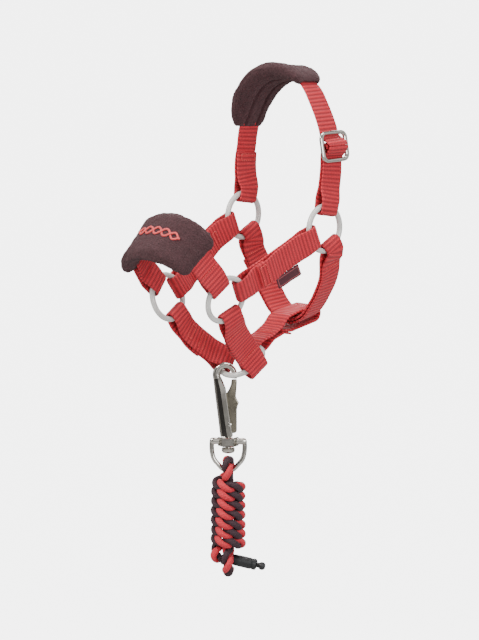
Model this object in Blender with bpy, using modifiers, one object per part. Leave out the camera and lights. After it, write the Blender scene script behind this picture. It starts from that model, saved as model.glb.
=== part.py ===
"""A toy-pony webbing headcollar: five round rings joined by 10 mm webbing, with two fleece pads,
an adjusting slider, a trigger snap on the chin ring and a lead rope wound into a hank.

Up is +Z. The pony's forward is -Y and its left, the near side, is +X. The origin is the underside
of the crown pad at its top, where the headcollar rests on the poll. Sizes are in millimetres and
become metres as each mesh is made.
"""

import math
from bisect import bisect_right

import bmesh
import bpy
from mathutils import Matrix, Vector

MM = 0.001

# Webbing
WEB_WIDTH = 10.0
WEB_THICK = 0.9
LAYER_OFFSET = 0.6  # middle of one layer from the middle of a doubled strap
GAP = 0.3  # clearance between neighbouring pieces
FOLD_WIDTH = 8.4  # webbing gathers to this width inside a ring
GATHER_LENGTH = 7.0

# Rings
RING_RADIUS = 8.0  # to the middle of the wire
RING_WIRE = 2.0
EYE_RADIUS = RING_WIRE / 2 + GAP + WEB_THICK / 2
EYE_DISTANCE = 6.6  # from a ring's middle to the middle of a strap's eye
EYE_HOLD = 2.7  # the layers stay apart this far past the eye's middle
EYE_CLOSE = 5.5  # and come together over this length

# Skeleton: ring centres
UPPER_RING = Vector((20.0, -2.8, -50.8))
FAR_UPPER_RING = Vector((-20.0, -2.8, -49.2))
NOSE_RING = Vector((14.4, -47.3, -72.5))
FAR_NOSE_RING = Vector((-14.4, -47.3, -74.2))
CHIN_RING = Vector((0.0, -24.2, -98.0))
CHIN_FRONT = Vector((0.0, -0.82, -0.57)).normalized()
NOSE_RING_LEAN = Vector((0.97, -0.08, -0.23)).normalized()

# Leaving directions round a side ring, in degrees from the back, turning through the top
CROWN_ANGLE = 81.0
CHEEK_UPPER_ANGLE = 203.0
THROAT_ANGLE = 295.0
CHEEK_NOSE_ANGLE = 30.0
NOSEBAND_ANGLE = 133.0
CHIN_ANGLE = 298.0
CHIN_RING_ANGLE = 12.0  # from the side towards the front

# Crown
STRAP_TOP = 3.3  # middle of the crown strap over the origin
SLIDER_AT = 22.5  # along the crown strap from the near ring's eye
SLIDER_WIDTH = 14.6
SLIDER_HEIGHT = 11.2
SLIDER_BAR = 1.5
SLIDER_SIDE = 2.0
SLIDER_THICK = 1.4
SLIDER_INNER_FACE = LAYER_OFFSET + WEB_THICK / 2 + GAP + 0.05
CENTRE_BAR = 1.0
CENTRE_BAR_OUT = 1.45
WRAP_RADIUS = CENTRE_BAR / 2 + GAP + WEB_THICK / 2
CLIMB_HEIGHT = 3.8
CLIMB_LENGTH = 4.3
FAR_HEM_LENGTH = 18.0

# Pads
PAD_THICK = 5.4
TUNNEL_HEIGHT = 2 * (LAYER_OFFSET + WEB_THICK / 2 + GAP)
TUNNEL_WIDTH = WEB_WIDTH + 2 * GAP

# Snap, in its own frame: across, through, up from the wire it hangs on
SNAP_TURN = math.radians(40.0)
SNAP_ON_RING = math.radians(105.0)
HOOK_RADIUS = 3.2
HOOK_WIRE = 2.1
HOOK_TIP = -1.4
BODY_THICK = 3.4
SLOT = 1.9
TRIGGER_THICK = 1.3
PIVOT = (1.7, -18.0)
PIN_RADIUS = 0.5
FOOT = -22.3
SWIVEL_AT = 1.0
STEM_RADIUS = 1.0
STEM_HEAD_RADIUS = 1.7
STEM_HEAD_HEIGHT = 1.8
BAR_HEIGHT = 3.5
BAR_HALF = 5.8
BAR_DEPTH = 2.6
BLOCK_DEPTH = 3.6
BOW_WIRE = 1.7
BOW_SHOULDER = -28.6
BOW_BOTTOM = -34.8

# Lead rope, in the snap's frame
ROPE = 4.0
ROPE_EYE_RADIUS = 3.6
HANK_RADIUS = 6.2
HANK_TOP = -36.3
HANK_BOTTOM = -64.6
BIGHT_RADIUS = 4.25
TAIL_HEIGHT = -67.0
CAP_RADIUS = 2.05
CAP_LENGTH = 8.8
CAP_START = 2.6
CAP_SLOPE = -0.22

COLOURS = {
    "webbing": ((0.70, 0.075, 0.095), 0.75, 0.0),
    "fleece": ((0.115, 0.045, 0.050), 1.0, 0.0),
    "ring": ((0.80, 0.79, 0.76), 0.3, 0.0),
    "nickel": ((0.62, 0.60, 0.56), 0.25, 1.0),
    "label": ((0.16, 0.02, 0.04), 0.7, 0.0),
    "rope": ((0.55, 0.07, 0.09), 0.8, 0.0),
    "rubber": ((0.02, 0.02, 0.022), 0.6, 0.0),
}


def clear_scene():
    for thing in list(bpy.data.objects):
        bpy.data.objects.remove(thing, do_unlink=True)


def collection(name):
    made = bpy.data.collections.new(name)
    bpy.context.scene.collection.children.link(made)
    return made


def material(name, finish):
    colour, roughness, metallic = COLOURS[finish]
    made = bpy.data.materials.new(name + "_material")
    made.use_nodes = True
    shader = made.node_tree.nodes["Principled BSDF"]
    shader.inputs["Base Color"].default_value = (*colour, 1.0)
    shader.inputs["Roughness"].default_value = roughness
    shader.inputs["Metallic"].default_value = metallic
    return made


def add_part(name, data, finish, parent=None):
    """One sub-part in the headcollar's collection, with a material of its own."""
    made = bpy.data.objects.new(name, data)
    data.materials.append(material(name, finish))
    PARTS.objects.link(made)
    made.parent = parent
    return made


def add_cutter(name, data, parent=None):
    made = bpy.data.objects.new(name, data)
    CUTTERS.objects.link(made)
    made.parent = parent
    made.hide_render = True
    made.display_type = "WIRE"
    return made


def add_empty(name, location, parent=None, turn=0.0):
    made = bpy.data.objects.new(name, None)
    CUTTERS.objects.link(made)
    made.parent = parent
    made.location = Vector(location) * MM
    made.rotation_euler.z = turn
    made.empty_display_size = 2 * MM
    return made


def mesh_from(bm, name):
    data = bpy.data.meshes.new(name)
    bm.to_mesh(data)
    bm.free()
    data.shade_smooth()
    data.set_sharp_from_angle(angle=math.radians(40))
    return data


def boolean(target, other, operation):
    modifier = target.modifiers.new(operation.title(), "BOOLEAN")
    modifier.operation = operation
    modifier.object = other


def thicken(target, thickness):
    modifier = target.modifiers.new("Thickness", "SOLIDIFY")
    modifier.thickness = thickness * MM
    modifier.offset = 0.0


def bevel(target, width, segments=2):
    modifier = target.modifiers.new("Edges", "BEVEL")
    modifier.width = width * MM
    modifier.segments = segments
    modifier.angle_limit = math.radians(35)


def grid_mesh(name, rows, closed=False):
    """An open sheet, or a closed band, through rows of points."""
    bm = bmesh.new()
    if closed:
        rows = rows + rows[:1]
    columns = len(rows[0])
    bmesh.ops.create_grid(bm, x_segments=columns - 1, y_segments=len(rows) - 1, size=1.0)
    ordered = sorted(bm.verts, key=lambda v: (round(v.co.y, 6), round(v.co.x, 6)))
    for index, vert in enumerate(ordered):
        row, column = divmod(index, columns)
        vert.co = rows[row][column] * MM
    if closed:
        bmesh.ops.remove_doubles(bm, verts=bm.verts, dist=1e-7)
    return mesh_from(bm, name)


def smooth_points(guides, per_span=24):
    """Points on one smooth curve through the guides."""
    spans = [(b - a).length for a, b in zip(guides, guides[1:])]
    slopes = [(b - a) / s for a, b, s in zip(guides, guides[1:], spans)]
    tangents = [slopes[0]]
    for i in range(1, len(guides) - 1):
        weight = spans[i] / (spans[i - 1] + spans[i])
        tangents.append(slopes[i - 1] * weight + slopes[i] * (1 - weight))
    tangents.append(slopes[-1])
    points = []
    for i, span in enumerate(spans):
        for k in range(per_span):
            t = k / per_span
            rise = t * t * (3 - 2 * t)
            points.append(
                guides[i] * (1 - rise)
                + guides[i + 1] * rise
                + tangents[i] * span * t * (1 - t) ** 2
                - tangents[i + 1] * span * t * t * (1 - t)
            )
    return points + [guides[-1]]


class Course:
    """The line that a strap follows, with the direction of its width turning evenly along it."""

    def __init__(self, guides, acrosses):
        self.points = smooth_points(guides)
        self.acrosses = acrosses
        self.reach = [0.0]
        for a, b in zip(self.points, self.points[1:]):
            self.reach.append(self.reach[-1] + (b - a).length)
        self.length = self.reach[-1]

    def at(self, u):
        """Middle, width direction and outward direction at a distance u along the line."""
        i = min(max(bisect_right(self.reach, u) - 1, 0), len(self.points) - 2)
        step = self.points[i + 1] - self.points[i]
        middle = self.points[i] + step * ((u - self.reach[i]) / step.length)
        ahead = self.points[min(i + 3, len(self.points) - 1)]
        tangent = (ahead - self.points[max(i - 2, 0)]).normalized()
        place = min(max(u / self.length, 0.0), 1.0) * (len(self.acrosses) - 1)
        key = min(int(place), len(self.acrosses) - 2)
        across = self.acrosses[key].lerp(self.acrosses[key + 1], place - key)
        across = (across - tangent * across.dot(tangent)).normalized()
        return middle, across, tangent.cross(across)

    def point(self, u, v, n):
        middle, across, out = self.at(u)
        return middle + across * v + out * n


class Ring:
    """A round ring and the places where straps leave it."""

    def __init__(self, name, centre, side_axis, back_axis):
        self.name = name
        self.centre = centre
        self.normal = side_axis.normalized()
        self.back = (back_axis - self.normal * back_axis.dot(self.normal)).normalized()
        self.up = self.normal.cross(self.back)

    def leave(self, degrees):
        angle = math.radians(degrees)
        return self.back * math.cos(angle) + self.up * math.sin(angle)

    def eye(self, degrees):
        return self.centre + self.leave(degrees) * EYE_DISTANCE

    def across(self, degrees):
        return self.normal.cross(self.leave(degrees))

    def build(self):
        bpy.ops.mesh.primitive_torus_add(
            major_radius=RING_RADIUS * MM,
            minor_radius=RING_WIRE / 2 * MM,
            major_segments=40,
            minor_segments=10,
            location=self.centre * MM,
            rotation=self.normal.to_track_quat("Z", "Y").to_euler(),
        )
        made = bpy.context.object
        made.name = self.name
        made.data.name = self.name
        for home in list(made.users_collection):
            home.objects.unlink(made)
        PARTS.objects.link(made)
        made.data.materials.append(material(self.name, "ring"))
        made.data.shade_smooth()
        return made


def ease(t):
    t = min(max(t, 0.0), 1.0)
    return t * t * (3 - 2 * t)


class End:
    """How a doubled strap's two layers open round what it holds."""

    def __init__(self, radius=EYE_RADIUS, hold=EYE_HOLD, close=EYE_CLOSE, shift=0.0, gather=FOLD_WIDTH):
        self.radius = radius
        self.hold = hold
        self.close = close
        self.shift = shift
        self.gather = gather

    def opening(self, distance):
        """Extra distance of each layer from the middle, and the eye's shift outwards."""
        share = 1 - ease((distance - self.hold) / self.close)
        return (self.radius - LAYER_OFFSET) * share, self.shift * share

    def half_width(self, distance):
        return (WEB_WIDTH - (WEB_WIDTH - self.gather) * (1 - ease(distance / GATHER_LENGTH))) / 2


RING_END = End()


def layer_offset(course, u, side, start, end):
    open_a, shift_a = start.opening(u)
    open_b, shift_b = end.opening(course.length - u)
    return side * (LAYER_OFFSET + open_a + open_b) + shift_a + shift_b


def strap_half_width(course, u, start, end):
    return min(start.half_width(max(u, 0.0)), end.half_width(max(course.length - u, 0.0)))


def stations(low, high, spacing=2.4):
    count = max(2, round(abs(high - low) / spacing))
    return [low + (high - low) * k / count for k in range(count + 1)]


def fold(centre, radius, shift, first, last, count=8):
    """Places (u, n) round a fold, its angles in degrees."""
    places = []
    for k in range(count + 1):
        angle = math.radians(first + (last - first) * k / count)
        places.append((centre + radius * math.cos(angle), shift + radius * math.sin(angle)))
    return places


def strap_rows(course, route, start, end):
    rows = []
    for u, n in route:
        half = strap_half_width(course, u, start, end)
        rows.append([course.point(u, -half, n), course.point(u, half, n)])
    return rows


def doubled_strap(name, course, start=RING_END, end=RING_END):
    """Webbing that goes round what is at both ends and lies on itself in between."""
    length = course.length
    out = [(u, layer_offset(course, u, 1, start, end)) for u in stations(0.0, length)]
    back = [(u, layer_offset(course, u, -1, start, end)) for u in stations(length, 0.0)]
    far_fold = fold(length, end.radius, end.shift, 90, -90)[1:-1]
    near_fold = fold(0.0, start.radius, start.shift, 270, 90)[1:-1]
    rows = strap_rows(course, out + far_fold + back + near_fold, start, end)
    made = add_part(name, grid_mesh(name, rows, closed=True), "webbing")
    thicken(made, WEB_THICK)
    return made


def along_rings(ring_a, angle_a, ring_b, angle_b, middle=(), lead=3.0, acrosses=()):
    """The course of a strap between two rings, straight where it leaves each."""
    eye_a = ring_a.eye(angle_a)
    eye_b = ring_b.eye(angle_b)
    guides = [eye_a, eye_a + ring_a.leave(angle_a) * lead]
    guides += [Vector(point) for point in middle]
    guides += [eye_b + ring_b.leave(angle_b) * lead, eye_b]
    widths = [ring_a.across(angle_a), *acrosses]
    last = ring_b.across(angle_b)
    widths.append(last if last.dot(widths[0]) > 0 else -last)
    return Course(guides, widths)


def rings():
    side = Vector((1.0, 0.0, 0.0))
    back = Vector((0.0, 1.0, 0.0))
    far_lean = Vector((NOSE_RING_LEAN.x, -NOSE_RING_LEAN.y, -NOSE_RING_LEAN.z))
    chin_normal = side.cross(CHIN_FRONT)
    return {
        "upper": Ring("upper_ring_near", UPPER_RING, side, back),
        "far_upper": Ring("upper_ring_far", FAR_UPPER_RING, side, back),
        "nose": Ring("nose_ring_near", NOSE_RING, NOSE_RING_LEAN, back),
        "far_nose": Ring("nose_ring_far", FAR_NOSE_RING, far_lean, back),
        "chin": Ring("chin_ring", CHIN_RING, chin_normal, side),
    }


def crown_course(ring):
    middle = [
        (19.9, -0.6, -38.0),
        (19.6, 0.9, -25.0),
        (17.9, 0.8, -16.5),
        (14.2, 0.6, -7.0),
        (9.2, 0.2, 0.0),
        (0.0, 0.0, STRAP_TOP),
        (-9.6, 0.0, 0.6),
        (-16.2, -0.2, -6.5),
        (-19.4, -0.6, -18.0),
        (-20.1, -1.6, -33.0),
    ]
    return along_rings(ring["upper"], CROWN_ANGLE, ring["far_upper"], CROWN_ANGLE, middle)


def crown_strap(course):
    """One length of webbing: sewn round the slider's centre bar, down round the near ring, up
    over the centre bar, over the poll, and down round the far ring to its hem."""
    length = course.length
    top = SLIDER_AT
    route = fold(top, WRAP_RADIUS, CENTRE_BAR_OUT, 130, -90, 10)
    for u in stations(top - 2.0, 2.4):
        settle = ease((top - u) / 4.0)
        inner = CENTRE_BAR_OUT - WRAP_RADIUS
        n = inner + (layer_offset(course, u, -1, RING_END, RING_END) - inner) * settle
        route.append((u, n))
    route.append((0.0, -EYE_RADIUS))
    route += fold(0.0, EYE_RADIUS, 0.0, 270, 90)[1:]
    for u in stations(2.4, top - CLIMB_LENGTH):
        route.append((u, layer_offset(course, u, 1, RING_END, RING_END)))
    for k in range(1, 17):
        u = top - CLIMB_LENGTH + CLIMB_LENGTH * k / 8
        climb = 0.5 + 0.5 * math.cos(math.pi * (u - top) / CLIMB_LENGTH)
        route.append((u, LAYER_OFFSET + CLIMB_HEIGHT * climb))
    hem_start = length - FAR_HEM_LENGTH
    for u in stations(top + CLIMB_LENGTH + 2.0, hem_start)[:-1]:
        settle = ease((u - top - CLIMB_LENGTH - 2.0) / 9.0)
        route.append((u, LAYER_OFFSET * (1 - settle)))
    for u in stations(hem_start, length):
        n = layer_offset(course, u, 1, RING_END, RING_END)
        route.append((u, n * ease((u - hem_start) / 5.0 + 0.15)))
    route += fold(length, EYE_RADIUS, 0.0, 90, -90)[1:]
    for u in stations(length - 2.4, hem_start + 1.5):
        route.append((u, layer_offset(course, u, -1, RING_END, RING_END)))
    rows = strap_rows(course, route, RING_END, RING_END)
    made = add_part("crown_strap", grid_mesh("crown_strap", rows), "webbing")
    thicken(made, WEB_THICK)
    return made


def pad(name, course, first, last, half_width, flare):
    """A fleece pad along a strap, with a flat tunnel that the strap runs through."""
    rows = []
    for k in range(15):
        t = k / 14
        u = first + (last - first) * t
        row = []
        for j in range(-4, 5):
            v = half_width(t) * j / 4
            row.append(course.point(u, v, flare(t, j / 4)))
        rows.append(row)
    made = add_part(name, grid_mesh(name, rows), "fleece")
    thicken(made, PAD_THICK)
    margin = 4.0
    half = TUNNEL_WIDTH / 2
    route = stations(first - margin, last + margin, 2.0)
    tunnel_rows = [[course.point(u, -half, 0.0), course.point(u, half, 0.0)] for u in route]
    tunnel = add_cutter(name + "_tunnel", grid_mesh(name + "_tunnel", tunnel_rows))
    thicken(tunnel, TUNNEL_HEIGHT)
    boolean(made, tunnel, "DIFFERENCE")
    return made


def crown_pad(course):
    def half_width(t):
        return 6.6 + 5.2 * math.sin(math.pi * t) ** 0.7

    def flare(t, side):
        lift = 1.8 if side < 0 else 1.0
        return lift * side * side * math.sin(math.pi * t)

    return pad("crown_pad", course, 45.5, course.length - 24.5, half_width, flare)


def nose_pad(course):
    def half_width(t):
        return 8.6 + 3.4 * math.sin(math.pi * t) ** 0.7

    def flare(t, side):
        return 0.9 * side * side * math.sin(math.pi * t)

    margin = 12.4
    return pad("nose_pad", course, margin, course.length - margin, half_width, flare)


def slider(course):
    """A flat frame with two windows; its centre bar sits nearer the pony than its face."""
    middle, across, out = course.at(SLIDER_AT)
    up = out.cross(across)
    turn = Matrix((across, up, out)).transposed().to_4x4()
    plate = bpy.data.curves.new("slider_plate", "CURVE")
    plate.dimensions = "2D"
    plate.fill_mode = "BOTH"
    plate.extrude = SLIDER_THICK / 2 * MM
    outline = (SLIDER_WIDTH, SLIDER_HEIGHT, 2.0)
    window = (SLIDER_WIDTH - 2 * SLIDER_SIDE, SLIDER_HEIGHT - 2 * SLIDER_BAR, 0.6)
    for width, height, corner in (outline, window):
        spline = plate.splines.new("POLY")
        places = rounded_rectangle(width, height, corner)
        spline.points.add(len(places) - 1)
        for point, (x, y) in zip(spline.points, places):
            point.co = (x * MM, y * MM, 0.0, 1.0)
        spline.use_cyclic_u = True
    plate_object = bpy.data.objects.new("slider_plate", plate)
    CUTTERS.objects.link(plate_object)
    bpy.context.view_layer.update()
    evaluated = plate_object.evaluated_get(bpy.context.evaluated_depsgraph_get())
    bm = bmesh.new()
    bm.from_mesh(bpy.data.meshes.new_from_object(evaluated))
    bmesh.ops.remove_doubles(bm, verts=bm.verts, dist=1e-6)
    bpy.data.objects.remove(plate_object)
    made = add_part("crown_slider", mesh_from(bm, "crown_slider"), "nickel")
    plate_middle = middle + out * (SLIDER_INNER_FACE + SLIDER_THICK / 2)
    made.matrix_world = Matrix.Translation(plate_middle * MM) @ turn
    bar = bmesh.new()
    bmesh.ops.create_cone(
        bar,
        cap_ends=True,
        segments=12,
        radius1=CENTRE_BAR / 2 * MM,
        radius2=CENTRE_BAR / 2 * MM,
        depth=(SLIDER_WIDTH - SLIDER_SIDE) * MM,
        matrix=Matrix.Rotation(math.pi / 2, 4, "Y"),
    )
    centre_bar = add_cutter("slider_centre_bar", mesh_from(bar, "slider_centre_bar"))
    centre_bar.matrix_world = Matrix.Translation((middle + out * CENTRE_BAR_OUT) * MM) @ turn
    boolean(made, centre_bar, "UNION")
    return made


def rounded_rectangle(width, height, corner, steps=4):
    places = []
    for sx, sy, start in ((1, 1, 0), (-1, 1, 90), (-1, -1, 180), (1, -1, 270)):
        for k in range(steps + 1):
            angle = math.radians(start + 90 * k / steps)
            x = sx * (width / 2 - corner) + corner * math.cos(angle)
            y = sy * (height / 2 - corner) + corner * math.sin(angle)
            places.append((x, y))
    return places


def woven_label(course):
    """A small tab hanging from the lower edge of the near cheek strap."""
    top = WEB_WIDTH / 2 + GAP
    rows = []
    for u in stations(10.0, 21.2, 2.8):
        rows.append([course.point(u, top, 0.0), course.point(u, top + 4.4, 0.0)])
    made = add_part("woven_label", grid_mesh("woven_label", rows), "label")
    thicken(made, 0.6)
    hinge = course.point(15.6, top, 0.0) * MM
    made.data.transform(Matrix.Translation(-hinge))
    made.location = hinge
    return made


def chin_straps(ring):
    """From each nose ring down to the chin ring, whose wire they go round from above."""
    chin = ring["chin"]
    end = End(radius=2.75, hold=0.6, close=7.0)
    for name, side_ring, angle in (
        ("chin_strap_near", ring["nose"], CHIN_RING_ANGLE),
        ("chin_strap_far", ring["far_nose"], 180 - CHIN_RING_ANGLE),
    ):
        out = chin.back * math.cos(math.radians(angle)) + CHIN_FRONT * math.sin(math.radians(angle))
        wire = chin.centre + out * (RING_RADIUS - 0.6)
        eye = side_ring.eye(CHIN_ANGLE)
        leave = side_ring.leave(CHIN_ANGLE)
        top_across = side_ring.across(CHIN_ANGLE)
        bottom_across = out.cross(chin.normal)
        if bottom_across.dot(top_across) < 0:
            bottom_across = -bottom_across
        course = Course([eye, eye + leave * 3.0, wire], [top_across, bottom_across])
        doubled_strap(name, course, RING_END, end)


def throat_strap(ring):
    middle = [
        (19.6, 1.0, -61.0),
        (17.0, 2.8, -68.5),
        (12.2, 3.3, -77.0),
        (6.3, 3.4, -83.6),
        (0.0, 3.4, -85.4),
        (-6.3, 3.4, -83.2),
        (-12.2, 3.3, -76.3),
        (-17.0, 2.8, -67.5),
        (-19.6, 1.0, -59.6),
    ]
    back = Vector((0.0, 1.0, 0.18))
    course = along_rings(
        ring["upper"], THROAT_ANGLE, ring["far_upper"], THROAT_ANGLE, middle, acrosses=(back,)
    )
    doubled_strap("throat_strap", course)


def jowl_strap(ring):
    """From the back of the chin ring to a loop round the lowest point of the throat strap."""
    chin = ring["chin"]
    eye = chin.centre - CHIN_FRONT * EYE_DISTANCE
    guides = [
        eye,
        eye - CHIN_FRONT * 3.0,
        Vector((0.0, -7.0, -87.4)),
        Vector((0.0, 3.4, -84.8)),
        Vector((0.0, 8.9, -83.9)),
    ]
    across = Vector((1.0, 0.0, 0.0))
    course = Course(guides, [across, across])
    loop = End(radius=2.8, hold=12.5, close=5.5, gather=WEB_WIDTH)
    doubled_strap("jowl_strap", course, RING_END, loop)


def outline_plate(name, outline, thickness):
    """A flat plate across and up, its thickness through the snap."""
    bm = bmesh.new()
    half = thickness / 2
    front = [bm.verts.new(Vector((x, -half, z)) * MM) for x, z in outline]
    face = bm.faces.new(front)
    grown = bmesh.ops.extrude_face_region(bm, geom=[face])
    moved = [item for item in grown["geom"] if isinstance(item, bmesh.types.BMVert)]
    bmesh.ops.translate(bm, verts=moved, vec=(0.0, thickness * MM, 0.0))
    bmesh.ops.recalc_face_normals(bm, faces=bm.faces)
    return mesh_from(bm, name)


def drum(name, radius, low, high, at=(0.0, 0.0), along="Z", segments=20):
    bm = bmesh.new()
    bmesh.ops.create_cone(
        bm,
        cap_ends=True,
        segments=segments,
        radius1=radius * MM,
        radius2=radius * MM,
        depth=(high - low) * MM,
    )
    middle = Vector((0.0, 0.0, (low + high) / 2 * MM))
    bmesh.ops.translate(bm, verts=bm.verts, vec=middle)
    if along == "Y":
        bmesh.ops.rotate(bm, verts=bm.verts, matrix=Matrix.Rotation(math.pi / 2, 3, "X"))
        shift = Vector((at[0], 0.0, at[1]))
    else:
        shift = Vector((at[0], at[1], 0.0))
    bmesh.ops.translate(bm, verts=bm.verts, vec=shift * MM)
    return mesh_from(bm, name)


def tube_curve(name, points, diameter):
    data = bpy.data.curves.new(name, "CURVE")
    data.dimensions = "3D"
    data.bevel_depth = diameter / 2 * MM
    data.bevel_resolution = 2
    data.use_fill_caps = True
    data.render_resolution_u = 0
    spline = data.splines.new("POLY")
    spline.points.add(len(points) - 1)
    for point, place in zip(spline.points, points):
        point.co = (*(Vector(place) * MM), 1.0)
    return data


def tube_mesh(name, points, diameter):
    """A tube as a closed mesh, for shapes that are joined or cut."""
    holder = bpy.data.objects.new(name, tube_curve(name, points, diameter))
    CUTTERS.objects.link(holder)
    bpy.context.view_layer.update()
    evaluated = holder.evaluated_get(bpy.context.evaluated_depsgraph_get())
    bm = bmesh.new()
    bm.from_mesh(bpy.data.meshes.new_from_object(evaluated))
    bmesh.ops.remove_doubles(bm, verts=bm.verts, dist=1e-6)
    bpy.data.objects.remove(holder)
    return mesh_from(bm, name)


def arc(centre, radius, first, last, count, plane="XZ"):
    places = []
    for k in range(count + 1):
        angle = math.radians(first + (last - first) * k / count)
        side = centre[0] + radius * math.cos(angle)
        up = centre[1] + radius * math.sin(angle)
        places.append((side, 0.0, up) if plane == "XZ" else (SWIVEL_AT, side, up))
    return places


def snap(ring):
    chin = ring["chin"]
    out = chin.back * math.cos(SNAP_ON_RING) + CHIN_FRONT * math.sin(SNAP_ON_RING)
    hang = add_empty("snap_axis", chin.centre + out * RING_RADIUS, turn=SNAP_TURN)
    snap_body(hang)
    snap_trigger(hang)
    swivel = add_empty("swivel_axis", (SWIVEL_AT, 0.0, FOOT - GAP), hang)
    swivel_eye(swivel)
    rope = add_empty("rope_axis", (SWIVEL_AT, 0.0, BOW_BOTTOM), hang)
    lead_rope(rope)


def snap_body(hang):
    outline = [
        (-4.25, -0.6),
        (-2.1, -0.6),
        (-1.9, -2.6),
        (-0.6, -4.8),
        (2.5, -20.8),
        (2.6, FOOT),
        (-1.6, FOOT),
        (-2.0, -21.0),
    ]
    body = add_part("snap_body", outline_plate("snap_body", outline, BODY_THICK), "nickel", hang)
    bevel(body, 0.5)
    tip = [(HOOK_RADIUS, 0.0, HOOK_TIP)]
    path = [(-HOOK_RADIUS, 0.0, -4.0)] + arc((0.0, 0.0), HOOK_RADIUS, 180, 0, 14) + tip
    hook = add_cutter("hook_bar", tube_mesh("hook_bar", path, HOOK_WIRE), hang)
    boolean(body, hook, "UNION")
    stem_low = FOOT - GAP - BAR_HEIGHT - GAP - STEM_HEAD_HEIGHT
    stem = add_cutter("stem", drum("stem", STEM_RADIUS, stem_low, FOOT + 1.0, (SWIVEL_AT, 0.0)), hang)
    boolean(body, stem, "UNION")
    head_top = stem_low + STEM_HEAD_HEIGHT
    head_mesh = drum("stem_head", STEM_HEAD_RADIUS, stem_low - 0.1, head_top, (SWIVEL_AT, 0.0))
    boolean(body, add_cutter("stem_head", head_mesh, hang), "UNION")
    slot_outline = [(-2.9, -1.8), (8.0, -1.8), (8.0, -20.7), (-0.5, -20.7)]
    slot = add_cutter("trigger_slot", outline_plate("trigger_slot", slot_outline, SLOT), hang)
    boolean(body, slot, "DIFFERENCE")
    hole_mesh = drum("pin_hole", PIN_RADIUS + GAP, -4.0, 4.0, PIVOT, "Y", 16)
    boolean(body, add_cutter("pin_hole", hole_mesh, hang), "DIFFERENCE")
    pin_half = BODY_THICK / 2
    pin_mesh = drum("trigger_pin", PIN_RADIUS, -pin_half, pin_half, PIVOT, "Y", 16)
    add_part("trigger_pin", pin_mesh, "nickel", hang)


def snap_trigger(hang):
    pivot = add_empty("trigger_axis", (PIVOT[0], 0.0, PIVOT[1]), hang)
    outline = [
        (2.1, -1.75),
        (4.1, -1.75),
        (4.0, -5.5),
        (3.7, -8.2),
        (4.8, -10.2),
        (4.1, -12.6),
        (4.0, -19.6),
        (3.2, -20.2),
        (1.2, -20.2),
        (0.3, -18.6),
        (0.4, -13.5),
        (1.5, -7.0),
        (2.1, -5.0),
    ]
    local = [(x - PIVOT[0], z - PIVOT[1]) for x, z in outline]
    plate = outline_plate("snap_trigger", local, TRIGGER_THICK)
    trigger = add_part("snap_trigger", plate, "nickel", pivot)
    bevel(trigger, 0.25)
    hole = add_cutter("trigger_hole", drum("trigger_hole", PIN_RADIUS + GAP, -3, 3, along="Y", segments=16))
    hole.parent = pivot
    boolean(trigger, hole, "DIFFERENCE")
    turns = 3
    points = []
    for k in range(turns * 10 + 1):
        angle = 2 * math.pi * k / 10
        x = -0.95 - PIVOT[0] + 0.9 * k / (turns * 10)
        points.append((x, 0.55 * math.cos(angle), -13.5 - PIVOT[1] + 0.55 * math.sin(angle)))
    add_part("trigger_spring", tube_curve("trigger_spring", points, 0.24), "nickel", pivot)


def swivel_eye(swivel):
    """A bar that turns on the snap's stem, with a bow under it for the rope."""
    bm = bmesh.new()
    size = Matrix.Diagonal((2 * BAR_HALF * MM, BAR_DEPTH * MM, BAR_HEIGHT * MM, 1.0))
    low = Matrix.Translation((0.0, 0.0, -BAR_HEIGHT / 2 * MM))
    bmesh.ops.create_cube(bm, size=1.0, matrix=low @ size)
    bar = add_part("swivel_eye", mesh_from(bm, "swivel_eye"), "nickel", swivel)
    bevel(bar, 0.5)
    block_mesh = drum("swivel_block", BLOCK_DEPTH / 2 + 0.5, -BAR_HEIGHT, 0.0, segments=6)
    boolean(bar, add_cutter("swivel_block", block_mesh, swivel), "UNION")
    drop = swivel.location.z / MM
    shoulder = BOW_SHOULDER - drop
    depth = BOW_SHOULDER - BOW_BOTTOM
    path = [(-BAR_HALF, 0.0, -BAR_HEIGHT / 2)]
    for k in range(17):
        angle = math.pi + math.pi * k / 16
        path.append((BAR_HALF * math.cos(angle), 0.0, shoulder + depth * math.sin(angle)))
    path.append((BAR_HALF, 0.0, -BAR_HEIGHT / 2))
    bow = add_cutter("swivel_bow", tube_mesh("swivel_bow", path, BOW_WIRE), swivel)
    boolean(bar, bow, "UNION")
    hole_mesh = drum("stem_hole", STEM_RADIUS + GAP, -BAR_HEIGHT - 2, 2.0)
    boolean(bar, add_cutter("stem_hole", hole_mesh, swivel), "DIFFERENCE")


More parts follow.
